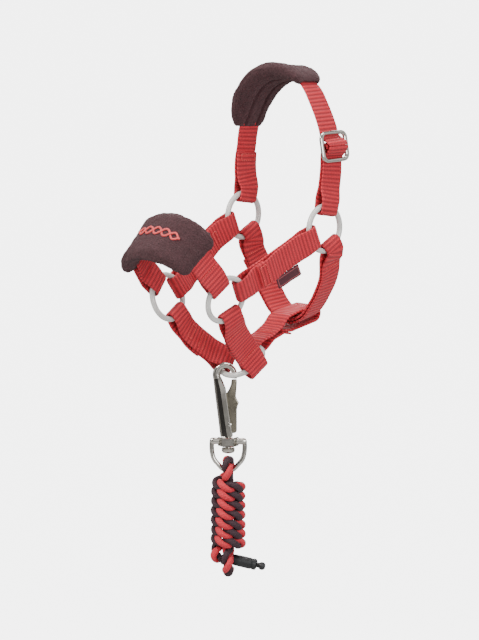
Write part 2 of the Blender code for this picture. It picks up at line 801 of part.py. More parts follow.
def lead_rope(axis):
    """A twisted rope: its eye round the bow, a wound hank, the bight under it and the capped
    end drawn through that bight."""

    def local(points):
        return [(x - SWIVEL_AT, y, z - BOW_BOTTOM) for x, y, z in points]

    leg = HANK_TOP + GAP
    eye = [(SWIVEL_AT, ROPE_EYE_RADIUS, leg)]
    eye += arc((0.0, BOW_BOTTOM), ROPE_EYE_RADIUS, 0, 180, 12, "YZ")
    eye.append((SWIVEL_AT, -ROPE_EYE_RADIUS, leg))
    add_part("rope_eye", tube_curve("rope_eye", local(eye), ROPE), "rope", axis)

    bm = bmesh.new()
    height = HANK_TOP - HANK_BOTTOM
    shoulder = 1.6
    profile = [(HANK_RADIUS - shoulder, 0.0), (HANK_RADIUS, -shoulder)]
    profile += [(HANK_RADIUS, shoulder - height), (HANK_RADIUS - shoulder, -height)]
    verts = [bm.verts.new((0.0, 0.0, (HANK_TOP - BOW_BOTTOM) * MM))]
    for radius, drop in profile:
        verts.append(bm.verts.new((radius * MM, 0.0, (HANK_TOP - BOW_BOTTOM + drop) * MM)))
    verts.append(bm.verts.new((0.0, 0.0, (HANK_BOTTOM - BOW_BOTTOM) * MM)))
    for a, b in zip(verts, verts[1:]):
        bm.edges.new((a, b))
    hank = add_part("rope_hank", mesh_from(bm, "rope_hank"), "rope", axis)
    turned(hank)

    low = HANK_BOTTOM - GAP
    bight = [(SWIVEL_AT, BIGHT_RADIUS, low)]
    bight += arc((0.0, TAIL_HEIGHT), BIGHT_RADIUS, 0, -180, 14, "YZ")
    bight.append((SWIVEL_AT, -BIGHT_RADIUS, low))
    add_part("rope_bight", tube_curve("rope_bight", local(bight), ROPE), "rope", axis)

    bend = low - TAIL_HEIGHT
    tail = arc((SWIVEL_AT - 3.0, low), bend, 180, 270, 6)
    tail.append((CAP_START - GAP - CAP_RADIUS * math.sin(-CAP_SLOPE), 0.0, TAIL_HEIGHT))
    add_part("rope_tail", tube_curve("rope_tail", local(tail), ROPE), "rope", axis)

    cap = bmesh.new()
    knob = CAP_LENGTH + 3.2
    outline = [(0.0, knob), (1.0, knob - 0.1), (1.5, knob - 0.9), (1.4, knob - 2.0)]
    outline += [(0.9, knob - 2.6), (0.9, CAP_LENGTH), (CAP_RADIUS - 0.5, CAP_LENGTH)]
    outline += [(CAP_RADIUS, CAP_LENGTH - 0.5), (CAP_RADIUS, 0.0), (0.0, 0.0)]
    verts = [cap.verts.new((radius * MM, 0.0, along * MM)) for radius, along in outline]
    for a, b in zip(verts, verts[1:]):
        cap.edges.new((a, b))
    end_cap = add_part("rope_end_cap", mesh_from(cap, "rope_end_cap"), "rubber", axis)
    turned(end_cap)
    start = Vector((CAP_START - SWIVEL_AT, 0.0, TAIL_HEIGHT - BOW_BOTTOM))
    lay = Vector((1.0, 0.0, CAP_SLOPE)).to_track_quat("Z", "Y").to_matrix().to_4x4()
    end_cap.matrix_local = Matrix.Translation(start * MM) @ lay


def turned(target, steps=24):
    """Turns a profile about the object's own Z axis."""
    screw = target.modifiers.new("Turned", "SCREW")
    screw.steps = steps
    screw.render_steps = steps
    screw.use_merge_vertices = True
    screw.merge_threshold = 1e-6
    screw.use_smooth_shade = True


clear_scene()
PARTS = collection("webbing_headcollar")
CUTTERS = collection("cutters_and_axes")

ring = rings()
for each in ring.values():
    each.build()

crown = crown_course(ring)
crown_strap(crown)
crown_pad(crown)
slider(crown)

arch = [
    (15.6, -56.5, -62.5),
    (12.4, -63.0, -54.6),
    (6.6, -66.2, -50.8),
    (0.0, -67.0, -49.9),
    (-6.6, -66.4, -51.6),
    (-12.4, -63.2, -56.0),
    (-15.6, -56.7, -64.0),
]
noseband = along_rings(ring["nose"], NOSEBAND_ANGLE, ring["far_nose"], NOSEBAND_ANGLE, arch)
doubled_strap("noseband_strap", noseband)
nose_pad(noseband)

near_cheek = along_rings(ring["upper"], CHEEK_UPPER_ANGLE, ring["nose"], CHEEK_NOSE_ANGLE)
far_cheek = along_rings(ring["far_upper"], CHEEK_UPPER_ANGLE, ring["far_nose"], CHEEK_NOSE_ANGLE)
doubled_strap("cheek_strap_near", near_cheek)
doubled_strap("cheek_strap_far", far_cheek)
woven_label(near_cheek)

chin_straps(ring)
throat_strap(ring)
jowl_strap(ring)
snap(ring)
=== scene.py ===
"""Finished looks of a toy-pony webbing headcollar and its hanked lead rope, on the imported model.

Up is +Z. The pony's forward is -Y and its near side is +X. Shapes are worked out in millimetres
and become metres as each mesh is made.
"""

import math
from bisect import bisect_right

import bmesh
import bpy
from mathutils import Matrix, Vector, noise
from mathutils.bvhtree import BVHTree
from mathutils.kdtree import KDTree


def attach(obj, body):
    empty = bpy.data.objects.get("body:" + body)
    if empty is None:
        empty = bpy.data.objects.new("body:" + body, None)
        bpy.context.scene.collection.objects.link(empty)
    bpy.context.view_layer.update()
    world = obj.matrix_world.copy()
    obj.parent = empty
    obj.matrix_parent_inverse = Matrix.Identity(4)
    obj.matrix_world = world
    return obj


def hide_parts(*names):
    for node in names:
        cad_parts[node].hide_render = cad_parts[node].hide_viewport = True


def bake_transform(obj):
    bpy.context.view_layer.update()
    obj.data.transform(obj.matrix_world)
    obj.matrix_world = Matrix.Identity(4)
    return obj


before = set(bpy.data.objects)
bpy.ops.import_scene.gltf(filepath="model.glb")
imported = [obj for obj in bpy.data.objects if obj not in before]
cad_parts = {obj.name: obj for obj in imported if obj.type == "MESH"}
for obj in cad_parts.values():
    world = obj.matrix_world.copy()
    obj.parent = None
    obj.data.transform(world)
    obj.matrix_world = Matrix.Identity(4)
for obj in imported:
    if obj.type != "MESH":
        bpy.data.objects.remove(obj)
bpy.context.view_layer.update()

MM = 0.001

# Webbing
WEB_WIDTH = 10.0
WEB_THICK = 0.9
RIB_PITCH = 1.45  # the weave's ribs, across the webbing
LAYER_OFFSET = 0.6  # middle of one layer from the middle of a doubled strap
GAP = 0.3
FOLD_WIDTH = 8.4
GATHER_LENGTH = 7.0

# Rings
RING_RADIUS = 8.0
RING_WIRE = 2.0
EYE_RADIUS = RING_WIRE / 2 + GAP + WEB_THICK / 2
EYE_DISTANCE = 6.6
EYE_HOLD = 2.7
EYE_CLOSE = 5.5
CHIN_FRONT = Vector((0.0, -0.82, -0.57)).normalized()
NOSE_RING_LEAN = Vector((0.97, -0.08, -0.23)).normalized()

# Leaving directions round a side ring, in degrees from the back, turning through the top
CROWN_ANGLE = 81.0
CHEEK_UPPER_ANGLE = 203.0
THROAT_ANGLE = 295.0
CHEEK_NOSE_ANGLE = 30.0
NOSEBAND_ANGLE = 133.0
CHIN_ANGLE = 298.0
CHIN_RING_ANGLE = 12.0

# Crown
STRAP_TOP = 3.3
SLIDER_AT = 22.5
SLIDER_WIDTH = 14.6
SLIDER_HEIGHT = 11.2
SLIDER_SIDE = 2.0
SLIDER_BAR = 1.5
SLIDER_THICK = 1.4
SLIDER_FACE = LAYER_OFFSET + WEB_THICK / 2 + GAP + 0.05
CENTRE_BAR = 1.0
CENTRE_BAR_OUT = 1.45
WRAP_RADIUS = CENTRE_BAR / 2 + GAP + WEB_THICK / 2
CLIMB_HEIGHT = 3.8
CLIMB_LENGTH = 4.3
FAR_HEM_LENGTH = 18.0
UNDER_POLL_PAD = 60.0  # along the crown strap, where its still length begins

# Snap, in its own frame: across, through, up from the wire it hangs on
SNAP_TURN = math.radians(40.0)
SNAP_ON_RING = math.radians(105.0)
PIVOT = (1.7, -18.0)
FOOT = -22.3
SWIVEL_AT = 1.0
BAR_HEIGHT = 3.5
BAR_HALF = 5.8
BOW_WIRE = 1.7
BOW_BOTTOM = -34.8

# Lead rope, in the snap's frame
ROPE = 4.0
ROPE_EYE_RADIUS = 3.6
HANK_TOP = -36.3
HANK_BOTTOM = -64.6
BIGHT_RADIUS = 4.25
TAIL_HEIGHT = -67.0
CAP_START = 2.6
CAP_LENGTH = 8.8
CAP_SLOPE = -0.22


# Finding places


def ease(t):
    t = min(max(t, 0.0), 1.0)
    return t * t * (3 - 2 * t)


def smooth_points(guides, per_span=24):
    """Points on one smooth curve through the guides."""
    spans = [(b - a).length for a, b in zip(guides, guides[1:])]
    slopes = [(b - a) / s for a, b, s in zip(guides, guides[1:], spans)]
    tangents = [slopes[0]]
    for i in range(1, len(guides) - 1):
        weight = spans[i] / (spans[i - 1] + spans[i])
        tangents.append(slopes[i - 1] * weight + slopes[i] * (1 - weight))
    tangents.append(slopes[-1])
    points = []
    for i, span in enumerate(spans):
        for k in range(per_span):
            t = k / per_span
            rise = t * t * (3 - 2 * t)
            points.append(
                guides[i] * (1 - rise)
                + guides[i + 1] * rise
                + tangents[i] * span * t * (1 - t) ** 2
                - tangents[i + 1] * span * t * t * (1 - t)
            )
    return points + [guides[-1]]


def reach_along(points):
    reach = [0.0]
    for a, b in zip(points, points[1:]):
        reach.append(reach[-1] + (b - a).length)
    return reach


def spaced(points, spacing):
    """The same line with its points a set distance apart."""
    reach = reach_along(points)
    count = max(2, round(reach[-1] / spacing))
    placed = []
    for k in range(count + 1):
        u = reach[-1] * k / count
        i = min(max(bisect_right(reach, u) - 1, 0), len(points) - 2)
        placed.append(points[i].lerp(points[i + 1], (u - reach[i]) / (reach[i + 1] - reach[i])))
    return placed


class Course:
    """The line that a strap follows, with the direction of its width turning evenly along it."""

    def __init__(self, guides, acrosses):
        self.points = smooth_points(guides)
        self.acrosses = acrosses
        self.reach = reach_along(self.points)
        self.length = self.reach[-1]

    def at(self, u):
        """Middle, width direction and outward direction at a distance u along the line."""
        i = min(max(bisect_right(self.reach, u) - 1, 0), len(self.points) - 2)
        step = self.points[i + 1] - self.points[i]
        middle = self.points[i] + step * ((u - self.reach[i]) / step.length)
        ahead = self.points[min(i + 3, len(self.points) - 1)]
        tangent = (ahead - self.points[max(i - 2, 0)]).normalized()
        place = min(max(u / self.length, 0.0), 1.0) * (len(self.acrosses) - 1)
        key = min(int(place), len(self.acrosses) - 2)
        across = self.acrosses[key].lerp(self.acrosses[key + 1], place - key)
        across = (across - tangent * across.dot(tangent)).normalized()
        return middle, across, tangent.cross(across)

    def point(self, u, v, n):
        middle, across, out = self.at(u)
        return middle + across * v + out * n


class Ring:
    """A round ring and the places where straps leave it."""

    def __init__(self, centre, side_axis, back_axis):
        self.centre = Vector(centre)
        self.normal = side_axis.normalized()
        self.back = (back_axis - self.normal * back_axis.dot(self.normal)).normalized()
        self.up = self.normal.cross(self.back)

    def leave(self, degrees):
        angle = math.radians(degrees)
        return self.back * math.cos(angle) + self.up * math.sin(angle)

    def eye(self, degrees):
        return self.centre + self.leave(degrees) * EYE_DISTANCE

    def across(self, degrees):
        return self.normal.cross(self.leave(degrees))


SIDE = Vector((1.0, 0.0, 0.0))
BACK = Vector((0.0, 1.0, 0.0))
FAR_LEAN = Vector((NOSE_RING_LEAN.x, -NOSE_RING_LEAN.y, -NOSE_RING_LEAN.z))
UPPER = Ring((20.0, -2.8, -50.8), SIDE, BACK)
FAR_UPPER = Ring((-20.0, -2.8, -49.2), SIDE, BACK)
NOSE = Ring((14.4, -47.3, -72.5), NOSE_RING_LEAN, BACK)
FAR_NOSE = Ring((-14.4, -47.3, -74.2), FAR_LEAN, BACK)
CHIN = Ring((0.0, -24.2, -98.0), SIDE.cross(CHIN_FRONT), SIDE)

ring_side = CHIN.back * math.cos(SNAP_ON_RING) + CHIN_FRONT * math.sin(SNAP_ON_RING)
SNAP_AXIS = CHIN.centre + ring_side * RING_RADIUS
SNAP_FRAME = Matrix.Translation(SNAP_AXIS) @ Matrix.Rotation(SNAP_TURN, 4, "Z")


# Making pieces


def add_piece(name, mesh, body, material, replaced=()):
    """One finished piece at the origin, riding on its body."""
    made = bpy.data.objects.new(name, mesh)
    bpy.context.scene.collection.objects.link(made)
    materials = material if isinstance(material, (list, tuple)) else [material]
    for item in materials:
        mesh.materials.append(item)
    if body:
        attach(made, body)
    if replaced:
        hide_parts(*replaced)
    return made


def mesh_from(bm, name, smooth_angle=50):
    mesh = bpy.data.meshes.new(name)
    bm.to_mesh(mesh)
    bm.free()
    mesh.shade_smooth()
    if smooth_angle < 180:
        mesh.set_sharp_from_angle(angle=math.radians(smooth_angle))
    return mesh


def subdivide(target, levels):
    modifier = target.modifiers.new("Rounded", "SUBSURF")
    modifier.levels = levels
    modifier.render_levels = levels
    return modifier


def applied(target):
    """The target's mesh with its modifiers finished; the holder is removed."""
    bpy.context.view_layer.update()
    evaluated = target.evaluated_get(bpy.context.evaluated_depsgraph_get())
    mesh = bpy.data.meshes.new_from_object(evaluated)
    mesh.name = target.name
    bpy.data.objects.remove(target, do_unlink=True)
    return mesh


def holder(name, mesh):
    made = bpy.data.objects.new(name, mesh)
    bpy.context.scene.collection.objects.link(made)
    return made


def frames_along(points, first_normal, closed=False):
    """Each point with a tangent and a normal that turns as little as it can."""
    frames = []
    last = len(points) - 1
    normal = first_normal
    for i, point in enumerate(points):
        before = points[i - 1] if i > 0 or closed else point
        after = points[(i + 1) % len(points)] if i < last or closed else point
        tangent = (after - before).normalized()
        normal = (normal - tangent * normal.dot(tangent)).normalized()
        frames.append((point, tangent, normal.copy()))
    return frames


def sweep(bm, stations, section, closed=False, slot=0, capped=True):
    """Skin over a section carried along stations of (point, side, up, side scale, up scale).
    The UV map holds the distance along and the share of the way round, in millimetres."""
    uv = bm.loops.layers.uv.get("UVMap") or bm.loops.layers.uv.new("UVMap")
    loops = []
    for point, side, up, wide, high in stations:
        places = [point + side * (a * wide) + up * (b * high) for a, b in section]
        loops.append([bm.verts.new(place * MM) for place in places])
    reach = reach_along([station[0] for station in stations])
    around = len(section)
    pairs = list(zip(range(len(loops) - 1), range(1, len(loops))))
    if closed:
        gap = (stations[0][0] - stations[-1][0]).length
        reach.append(reach[-1] + gap)
        pairs.append((len(loops) - 1, 0))
    for index, (i, j) in enumerate(pairs):
        for k in range(around):
            m = (k + 1) % around
            face = bm.faces.new((loops[i][k], loops[i][m], loops[j][m], loops[j][k]))
            face.material_index = slot
            corners = ((index, k), (index, k + 1), (index + 1, k + 1), (index + 1, k))
            for loop, (a, b) in zip(face.loops, corners):
                loop[uv].uv = (reach[a], b / around)
    if capped and not closed:
        for ring, flip in ((loops[0], True), (loops[-1], False)):
            face = bm.faces.new(list(reversed(ring)) if flip else ring)
            face.material_index = slot
    return loops


def circle(count=12, start=0.0):
    angles = [start + 2 * math.pi * k / count for k in range(count)]
    return [(math.cos(angle), math.sin(angle)) for angle in angles]


def wire_stations(points, radius, first_normal, closed=False):
    """Stations for a round wire through points."""
    stations = []
    for point, tangent, normal in frames_along(points, first_normal, closed):
        stations.append((point, normal, tangent.cross(normal), radius, radius))
    return stations


# Camera, stage and lights

STAGE_GLOW = 5.0


def camera_and_stage():
    target = Vector((-4.5, -20.8, -84.2)) * MM
    azimuth, elevation, distance = math.radians(44.0), math.radians(8.0), 1.6
    flat = math.cos(elevation)
    away = Vector(
        (math.sin(azimuth) * flat, -math.cos(azimuth) * flat, math.sin(elevation))
    )
    lens = bpy.data.cameras.new("camera")
    lens.lens = 252.0
    lens.sensor_fit = "VERTICAL"
    lens.sensor_height = 36.0
    lens.clip_start = 0.05
    camera = bpy.data.objects.new("camera", lens)
    camera.location = target + away * distance
    camera.rotation_euler = away.to_track_quat("Z", "Y").to_euler()
    bpy.context.scene.collection.objects.link(camera)
    bpy.context.scene.camera = camera

    bm = bmesh.new()
    bmesh.ops.create_grid(bm, x_segments=1, y_segments=1, size=9.0)
    bmesh.ops.translate(bm, verts=bm.verts, vec=(0.0, 0.0, -0.5))
    floor = holder("floor", mesh_from(bm, "floor"))
    floor.data.materials.append(stage_material("floor_paint"))

    for name, place, size, power, colour in (
        ("key_light", (-0.25, -1.0, 0.8), 0.55, 19.0, (1.0, 0.985, 0.96)),
        ("fill_light", (1.25, -0.35, 0.2), 0.8, 12.0, (0.97, 0.985, 1.0)),
        ("top_light", (0.1, 0.1, 0.95), 0.6, 9.0, (1.0, 1.0, 1.0)),
        ("back_light", (-0.7, 1.0, 0.3), 0.8, 9.0, (1.0, 1.0, 1.0)),
    ):
        lamp = bpy.data.lights.new(name, "AREA")
        lamp.shape = "DISK"
        lamp.size = size
        lamp.energy = power
        lamp.color = colour
        light = bpy.data.objects.new(name, lamp)
        light.location = place
        aim = light.location - Vector((0.0, -0.02, -0.08))
        light.rotation_euler = aim.to_track_quat("Z", "Y").to_euler()
        bpy.context.scene.collection.objects.link(light)

    studio_world()


def stage_material(name):
    """Pale paint that looks as bright as the studio behind it, without lighting the object more."""
    made = plain_material(name, (0.45, 0.45, 0.45), 0.9)
    tree = made.node_tree
    principled = tree.nodes["Principled BSDF"]
    principled.inputs["Emission Color"].default_value = (1.0, 1.0, 1.0, 1.0)
    seen = node(tree, "LightPath").outputs["Is Camera Ray"]
    glow = maths(tree, "MULTIPLY", seen, STAGE_GLOW)
    tree.links.new(glow, principled.inputs["Emission Strength"])
    return made


def studio_world():
    """Soft light from all round, uneven enough to show the shape of polished metal."""
    world = bpy.data.worlds.new("studio")
    bpy.context.scene.world = world
    world.use_nodes = True
    tree = world.node_tree
    background = tree.nodes["Background"]
    place = node(tree, "TexCoord").outputs["Generated"]
    parts = node(tree, "SeparateXYZ")
    tree.links.new(place, parts.inputs[0])
    angle = maths(tree, "ARCTAN2", parts.outputs[0], parts.outputs[1])
    panels = maths(tree, "COSINE", maths(tree, "MULTIPLY", angle, 4.0))
    level = remapped(tree, panels, 0.35, -0.35, 0.12, 1.1)
    seen = node(tree, "LightPath").outputs["Is Camera Ray"]
    strength = node(tree, "Mix", data_type="FLOAT")
    tree.links.new(seen, strength.inputs[0])
    tree.links.new(level, strength.inputs[2])
    strength.inputs[3].default_value = STAGE_GLOW + 0.3
    tree.links.new(strength.outputs[0], background.inputs["Strength"])
    background.inputs["Color"].default_value = (1.0, 1.0, 1.0, 1.0)


# Materials


def node(tree, kind, inputs=None, **settings):
    made = tree.nodes.new("ShaderNode" + kind)
    for key, value in settings.items():
        setattr(made, key, value)
    for key, value in (inputs or {}).items():
        if isinstance(value, bpy.types.NodeSocket):
            tree.links.new(value, made.inputs[key])
        else:
            made.inputs[key].default_value = value
    return made


def maths(tree, operation, *values, clamp=False):
    places = dict(enumerate(values))
    return node(tree, "Math", places, operation=operation, use_clamp=clamp).outputs[0]


def mixed(tree, share, first, second, blend="MIX"):
    made = node(tree, "Mix", data_type="RGBA", blend_type=blend)
    for place, value in ((0, share), (6, first), (7, second)):
        if isinstance(value, bpy.types.NodeSocket):
            tree.links.new(value, made.inputs[place])
        else:
            made.inputs[place].default_value = value
    return made.outputs[2]


def noise_at(tree, vector, scale, detail=2.0, roughness=0.5):
    inputs = {"Vector": vector, "Scale": scale, "Detail": detail, "Roughness": roughness}
    return node(tree, "TexNoise", inputs).outputs[0]


def remapped(tree, value, low, high, out_low=0.0, out_high=1.0):
    inputs = {"Value": value, "From Min": low, "From Max": high}
    inputs.update({"To Min": out_low, "To Max": out_high})
    return node(tree, "MapRange", inputs).outputs[0]


def new_group(name, inputs, outputs):
    """A shader node group with named sockets, and its input and output nodes."""
    tree = bpy.data.node_groups.new(name, "ShaderNodeTree")
    kinds = {"vector": "NodeSocketVector", "value": "NodeSocketFloat", "colour": "NodeSocketColor"}
    for socket, (kind, value) in inputs.items():
        made = tree.interface.new_socket(socket, in_out="INPUT", socket_type=kinds[kind])
        if value is not None:
            made.default_value = value
    for socket, kind in outputs.items():
        tree.interface.new_socket(socket, in_out="OUTPUT", socket_type=kinds[kind])
    return tree, tree.nodes.new("NodeGroupInput").outputs, tree.nodes.new("NodeGroupOutput").inputs


def rib_weave():
    """Webbing: ribs across it, each made of slanting stitches that turn at every rib."""
    inputs = {"Place": ("vector", None), "Rib Pitch": ("value", RIB_PITCH)}
    inputs.update({"Stitch Pitch": ("value", 0.8), "Slant": ("value", 0.9)})
    inputs["Stitch Share"] = ("value", 0.4)
    tree, given, result = new_group("rib weave", inputs, {"Height": "value", "Groove Shade": "value"})
    split = node(tree, "SeparateXYZ", {0: given["Place"]}).outputs
    along = maths(tree, "DIVIDE", split["X"], given["Rib Pitch"])
    rib = maths(tree, "COSINE", maths(tree, "MULTIPLY", along, 2 * math.pi))
    rib = maths(tree, "ADD", maths(tree, "MULTIPLY", rib, 0.5), 0.5)
    turn = maths(tree, "PINGPONG", along, 0.5)
    across = maths(tree, "DIVIDE", split["Y"], given["Stitch Pitch"])
    across = maths(tree, "ADD", across, maths(tree, "MULTIPLY", turn, given["Slant"]))
    stitch = maths(tree, "SINE", maths(tree, "MULTIPLY", across, 2 * math.pi))
    stitch = maths(tree, "ADD", maths(tree, "MULTIPLY", stitch, 0.5), 0.5)
    stitch = maths(tree, "POWER", stitch, 0.6)
    yarn = noise_at(tree, given["Place"], 9.0, 2.0)
    share = given["Stitch Share"]
    height = maths(tree, "ADD", rib, maths(tree, "MULTIPLY", stitch, share))
    height = maths(tree, "ADD", height, maths(tree, "MULTIPLY", yarn, 0.3))
    tree.links.new(height, result["Height"])
    # The second output marks the low places between ribs and between stitches; it is used only to
    # paint shade into the colour there.
    low = maths(tree, "SUBTRACT", 1.0, maths(tree, "POWER", rib, 0.7))
    gaps = maths(tree, "MULTIPLY", maths(tree, "SUBTRACT", 1.0, stitch), share)
    tree.links.new(maths(tree, "ADD", low, gaps, clamp=True), result["Groove Shade"])
    return tree


def cloth_patches():
    """Slow drifts of dye and light wear over cloth, from 0 to 1."""
    inputs = {"Place": ("vector", None), "Size": ("value", 8.0), "Fineness": ("value", 0.5)}
    tree, given, result = new_group("cloth patches", inputs, {"Patches": "value", "Fluff": "value"})
    scale = maths(tree, "DIVIDE", 1.0, given["Size"])
    slow = noise_at(tree, given["Place"], scale, 3.0, 0.6)
    tree.links.new(remapped(tree, slow, 0.32, 0.68), result["Patches"])
    fine = maths(tree, "DIVIDE", 1.0, given["Fineness"])
    quick = noise_at(tree, given["Place"], fine, 3.0, 0.7)
    tree.links.new(remapped(tree, quick, 0.35, 0.72), result["Fluff"])
    return tree


def handled_metal():
    """Soft cast ripples, rubbed patches and hairline marks."""
    inputs = {"Place": ("vector", None), "Ripple": ("value", 2.2), "Marks": ("value", 0.5)}
    outputs = {"Height": "value", "Rubbed": "value", "Marks": "value"}
    tree, given, result = new_group("handled metal", inputs, outputs)
    rate = maths(tree, "DIVIDE", 1.0, given["Ripple"])
    tree.links.new(noise_at(tree, given["Place"], rate, 1.5, 0.45), result["Height"])
    rubbed = noise_at(tree, given["Place"], 0.45, 4.0, 0.6)
    tree.links.new(remapped(tree, rubbed, 0.35, 0.65), result["Rubbed"])
    stretched = node(tree, "Mapping", {"Vector": given["Place"], "Scale": (9.0, 9.0, 0.6)})
    lines = remapped(tree, noise_at(tree, stretched.outputs[0], 1.0, 3.0, 0.7), 0.55, 0.75)
    tree.links.new(maths(tree, "MULTIPLY", lines, given["Marks"]), result["Marks"])
    return tree


def cord_sheath():
    """The fine plait on a round cord: two slants of yarn crossing round it."""
    inputs = {"Place": ("vector", None), "Plait Pitch": ("value", 0.7), "Yarns": ("value", 7.0)}
    tree, given, result = new_group("cord sheath", inputs, {"Height": "value", "Groove Shade": "value"})
    split = node(tree, "SeparateXYZ", {0: given["Place"]}).outputs
    along = maths(tree, "DIVIDE", split["X"], given["Plait Pitch"])
    around = maths(tree, "MULTIPLY", split["Y"], given["Yarns"])
    waves = []
    for side in ("ADD", "SUBTRACT"):
        phase = maths(tree, "MULTIPLY", maths(tree, side, along, around), math.pi)
        waves.append(maths(tree, "ABSOLUTE", maths(tree, "SINE", phase)))
    height = maths(tree, "MULTIPLY", waves[0], waves[1])
    fluff = maths(tree, "MULTIPLY", noise_at(tree, given["Place"], 3.5, 2.0), 0.3)
    tree.links.new(maths(tree, "ADD", height, fluff), result["Height"])
    # The second output is high where the plait is low; it is used only to paint shade into the
    # colour there.
    tree.links.new(maths(tree, "SUBTRACT", 1.0, height, clamp=True), result["Groove Shade"])
    return tree


RIB_WEAVE = rib_weave()
CLOTH_PATCHES = cloth_patches()
HANDLED_METAL = handled_metal()
CORD_SHEATH = cord_sheath()


def new_material(name, roughness=0.5, metallic=0.0, **shader):
    made = bpy.data.materials.new(name)
    made.use_nodes = True
    principled = made.node_tree.nodes["Principled BSDF"]
    principled.inputs["Roughness"].default_value = roughness
    principled.inputs["Metallic"].default_value = metallic
    for key, value in shader.items():
        principled.inputs[key.replace("_", " ").title()].default_value = value
    return made, made.node_tree, principled


def plain_material(name, colour, roughness):
    made, tree, principled = new_material(name, roughness)
    principled.inputs["Base Color"].default_value = (*colour, 1.0)
    return made


def millimetres(tree, scale=1000.0):
    """Object coordinates in millimetres."""
    place = node(tree, "TexCoord").outputs["Object"]
    return node(tree, "Mapping", {"Vector": place, "Scale": (scale, scale, scale)}).outputs[0]


def surface_map(tree):
    return node(tree, "UVMap", uv_map="UVMap").outputs[0]


def placed_group(tree, group, **inputs):
    made = node(tree, "Group", node_tree=group)
    for key, value in inputs.items():
        socket = made.inputs[key.replace("_", " ")]
        if isinstance(value, bpy.types.NodeSocket):
            tree.links.new(value, socket)
        else:
            socket.default_value = value
    return made.outputs


def bumped(tree, principled, height, distance, strength=1.0):
    bump = node(tree, "Bump", {"Height": height, "Distance": distance, "Strength": strength})
    tree.links.new(bump.outputs[0], principled.inputs["Normal"])


def webbing_material(name, light, dark, pitch, stitch_share, roughness=0.72):
    made, tree, principled = new_material(name, roughness, sheen_weight=0.06, sheen_roughness=0.5)
    weave = placed_group(
        tree, RIB_WEAVE, Place=surface_map(tree), Rib_Pitch=pitch, Stitch_Share=stitch_share
    )
    cloth = placed_group(tree, CLOTH_PATCHES, Place=millimetres(tree), Size=7.0, Fineness=0.45)
    # Painted shade: the weave's grooves are darkened toward the dark colour, as shadow between the
    # ribs and stitches.
    colour = mixed(tree, weave["Groove Shade"], (*light, 1.0), (*dark, 1.0))
    patches = maths(tree, "MULTIPLY", cloth["Patches"], 0.16)
    colour = mixed(tree, patches, colour, (*dark, 1.0))
    fluff = maths(tree, "MULTIPLY", cloth["Fluff"], 0.16)
    pale = tuple(min(1.0, c * 1.15 + 0.02) for c in light)
    colour = mixed(tree, fluff, colour, (*pale, 1.0))
    tree.links.new(colour, principled.inputs["Base Color"])
    rough = remapped(tree, cloth["Patches"], 0.0, 1.0, roughness - 0.08, roughness + 0.1)
    tree.links.new(rough, principled.inputs["Roughness"])
    bumped(tree, principled, weave["Height"], 0.00016, 0.9)
    return made


def fleece_material(name, light, dark):
    made, tree, principled = new_material(name, 0.95, sheen_weight=0.14, sheen_roughness=0.45)
    principled.inputs["Sheen Tint"].default_value = (0.85, 0.5, 0.52, 1.0)
    place = millimetres(tree)
    clumps = placed_group(tree, CLOTH_PATCHES, Place=place, Size=2.6, Fineness=0.55)
    # Painted light: the fibre noise makes the colour lighter where the nap's bump is high and
    # darker where it is low, as highlight and shade.
    fibres = noise_at(tree, place, 3.6, 3.0, 0.75)
    colour = mixed(tree, remapped(tree, fibres, 0.35, 0.68), (*dark, 1.0), (*light, 1.0))
    deep = maths(tree, "MULTIPLY", clumps["Patches"], 0.45)
    colour = mixed(tree, deep, colour, (*dark, 1.0))
    # Painted highlight on the raised fibre tips.
    painted_tip_highlight = maths(tree, "MULTIPLY", clumps["Fluff"], 0.25)
    pale = tuple(min(1.0, c * 1.7 + 0.02) for c in light)
    colour = mixed(tree, painted_tip_highlight, colour, (*pale, 1.0))
    tree.links.new(colour, principled.inputs["Base Color"])
    height = maths(tree, "ADD", clumps["Fluff"], maths(tree, "MULTIPLY", fibres, 0.8))
    bumped(tree, principled, height, 0.00032, 0.9)
    return made


def nickel_material(name, colour, roughness, ripple=2.4, ripple_height=0.00003):
    made, tree, principled = new_material(name, roughness, 1.0)
    finish = placed_group(tree, HANDLED_METAL, Place=millimetres(tree), Ripple=ripple, Marks=0.6)
    dull = tuple(c * 0.72 for c in colour)
    tree.links.new(
        mixed(tree, maths(tree, "MULTIPLY", finish["Rubbed"], 0.5), (*colour, 1.0), (*dull, 1.0)),
        principled.inputs["Base Color"],
    )
    rough = remapped(tree, finish["Rubbed"], 0.0, 1.0, roughness - 0.05, roughness + 0.1)
    rough = maths(tree, "ADD", rough, maths(tree, "MULTIPLY", finish["Marks"], 0.12))
    tree.links.new(rough, principled.inputs["Roughness"])
    bumped(tree, principled, finish["Height"], ripple_height, 0.6)
    return made


def ring_material(name):
    made, tree, principled = new_material(name, 0.24, coat_weight=0.35, coat_roughness=0.08)
    finish = placed_group(tree, HANDLED_METAL, Place=millimetres(tree), Ripple=1.6, Marks=0.5)
    white, worn = (0.66, 0.645, 0.615, 1.0), (0.5, 0.48, 0.45, 1.0)
    share = maths(tree, "MULTIPLY", finish["Rubbed"], 0.45)
    tree.links.new(mixed(tree, share, white, worn), principled.inputs["Base Color"])
    rough = remapped(tree, finish["Rubbed"], 0.0, 1.0, 0.2, 0.36)
    tree.links.new(rough, principled.inputs["Roughness"])
    bumped(tree, principled, finish["Height"], 0.00004, 0.5)
    return made


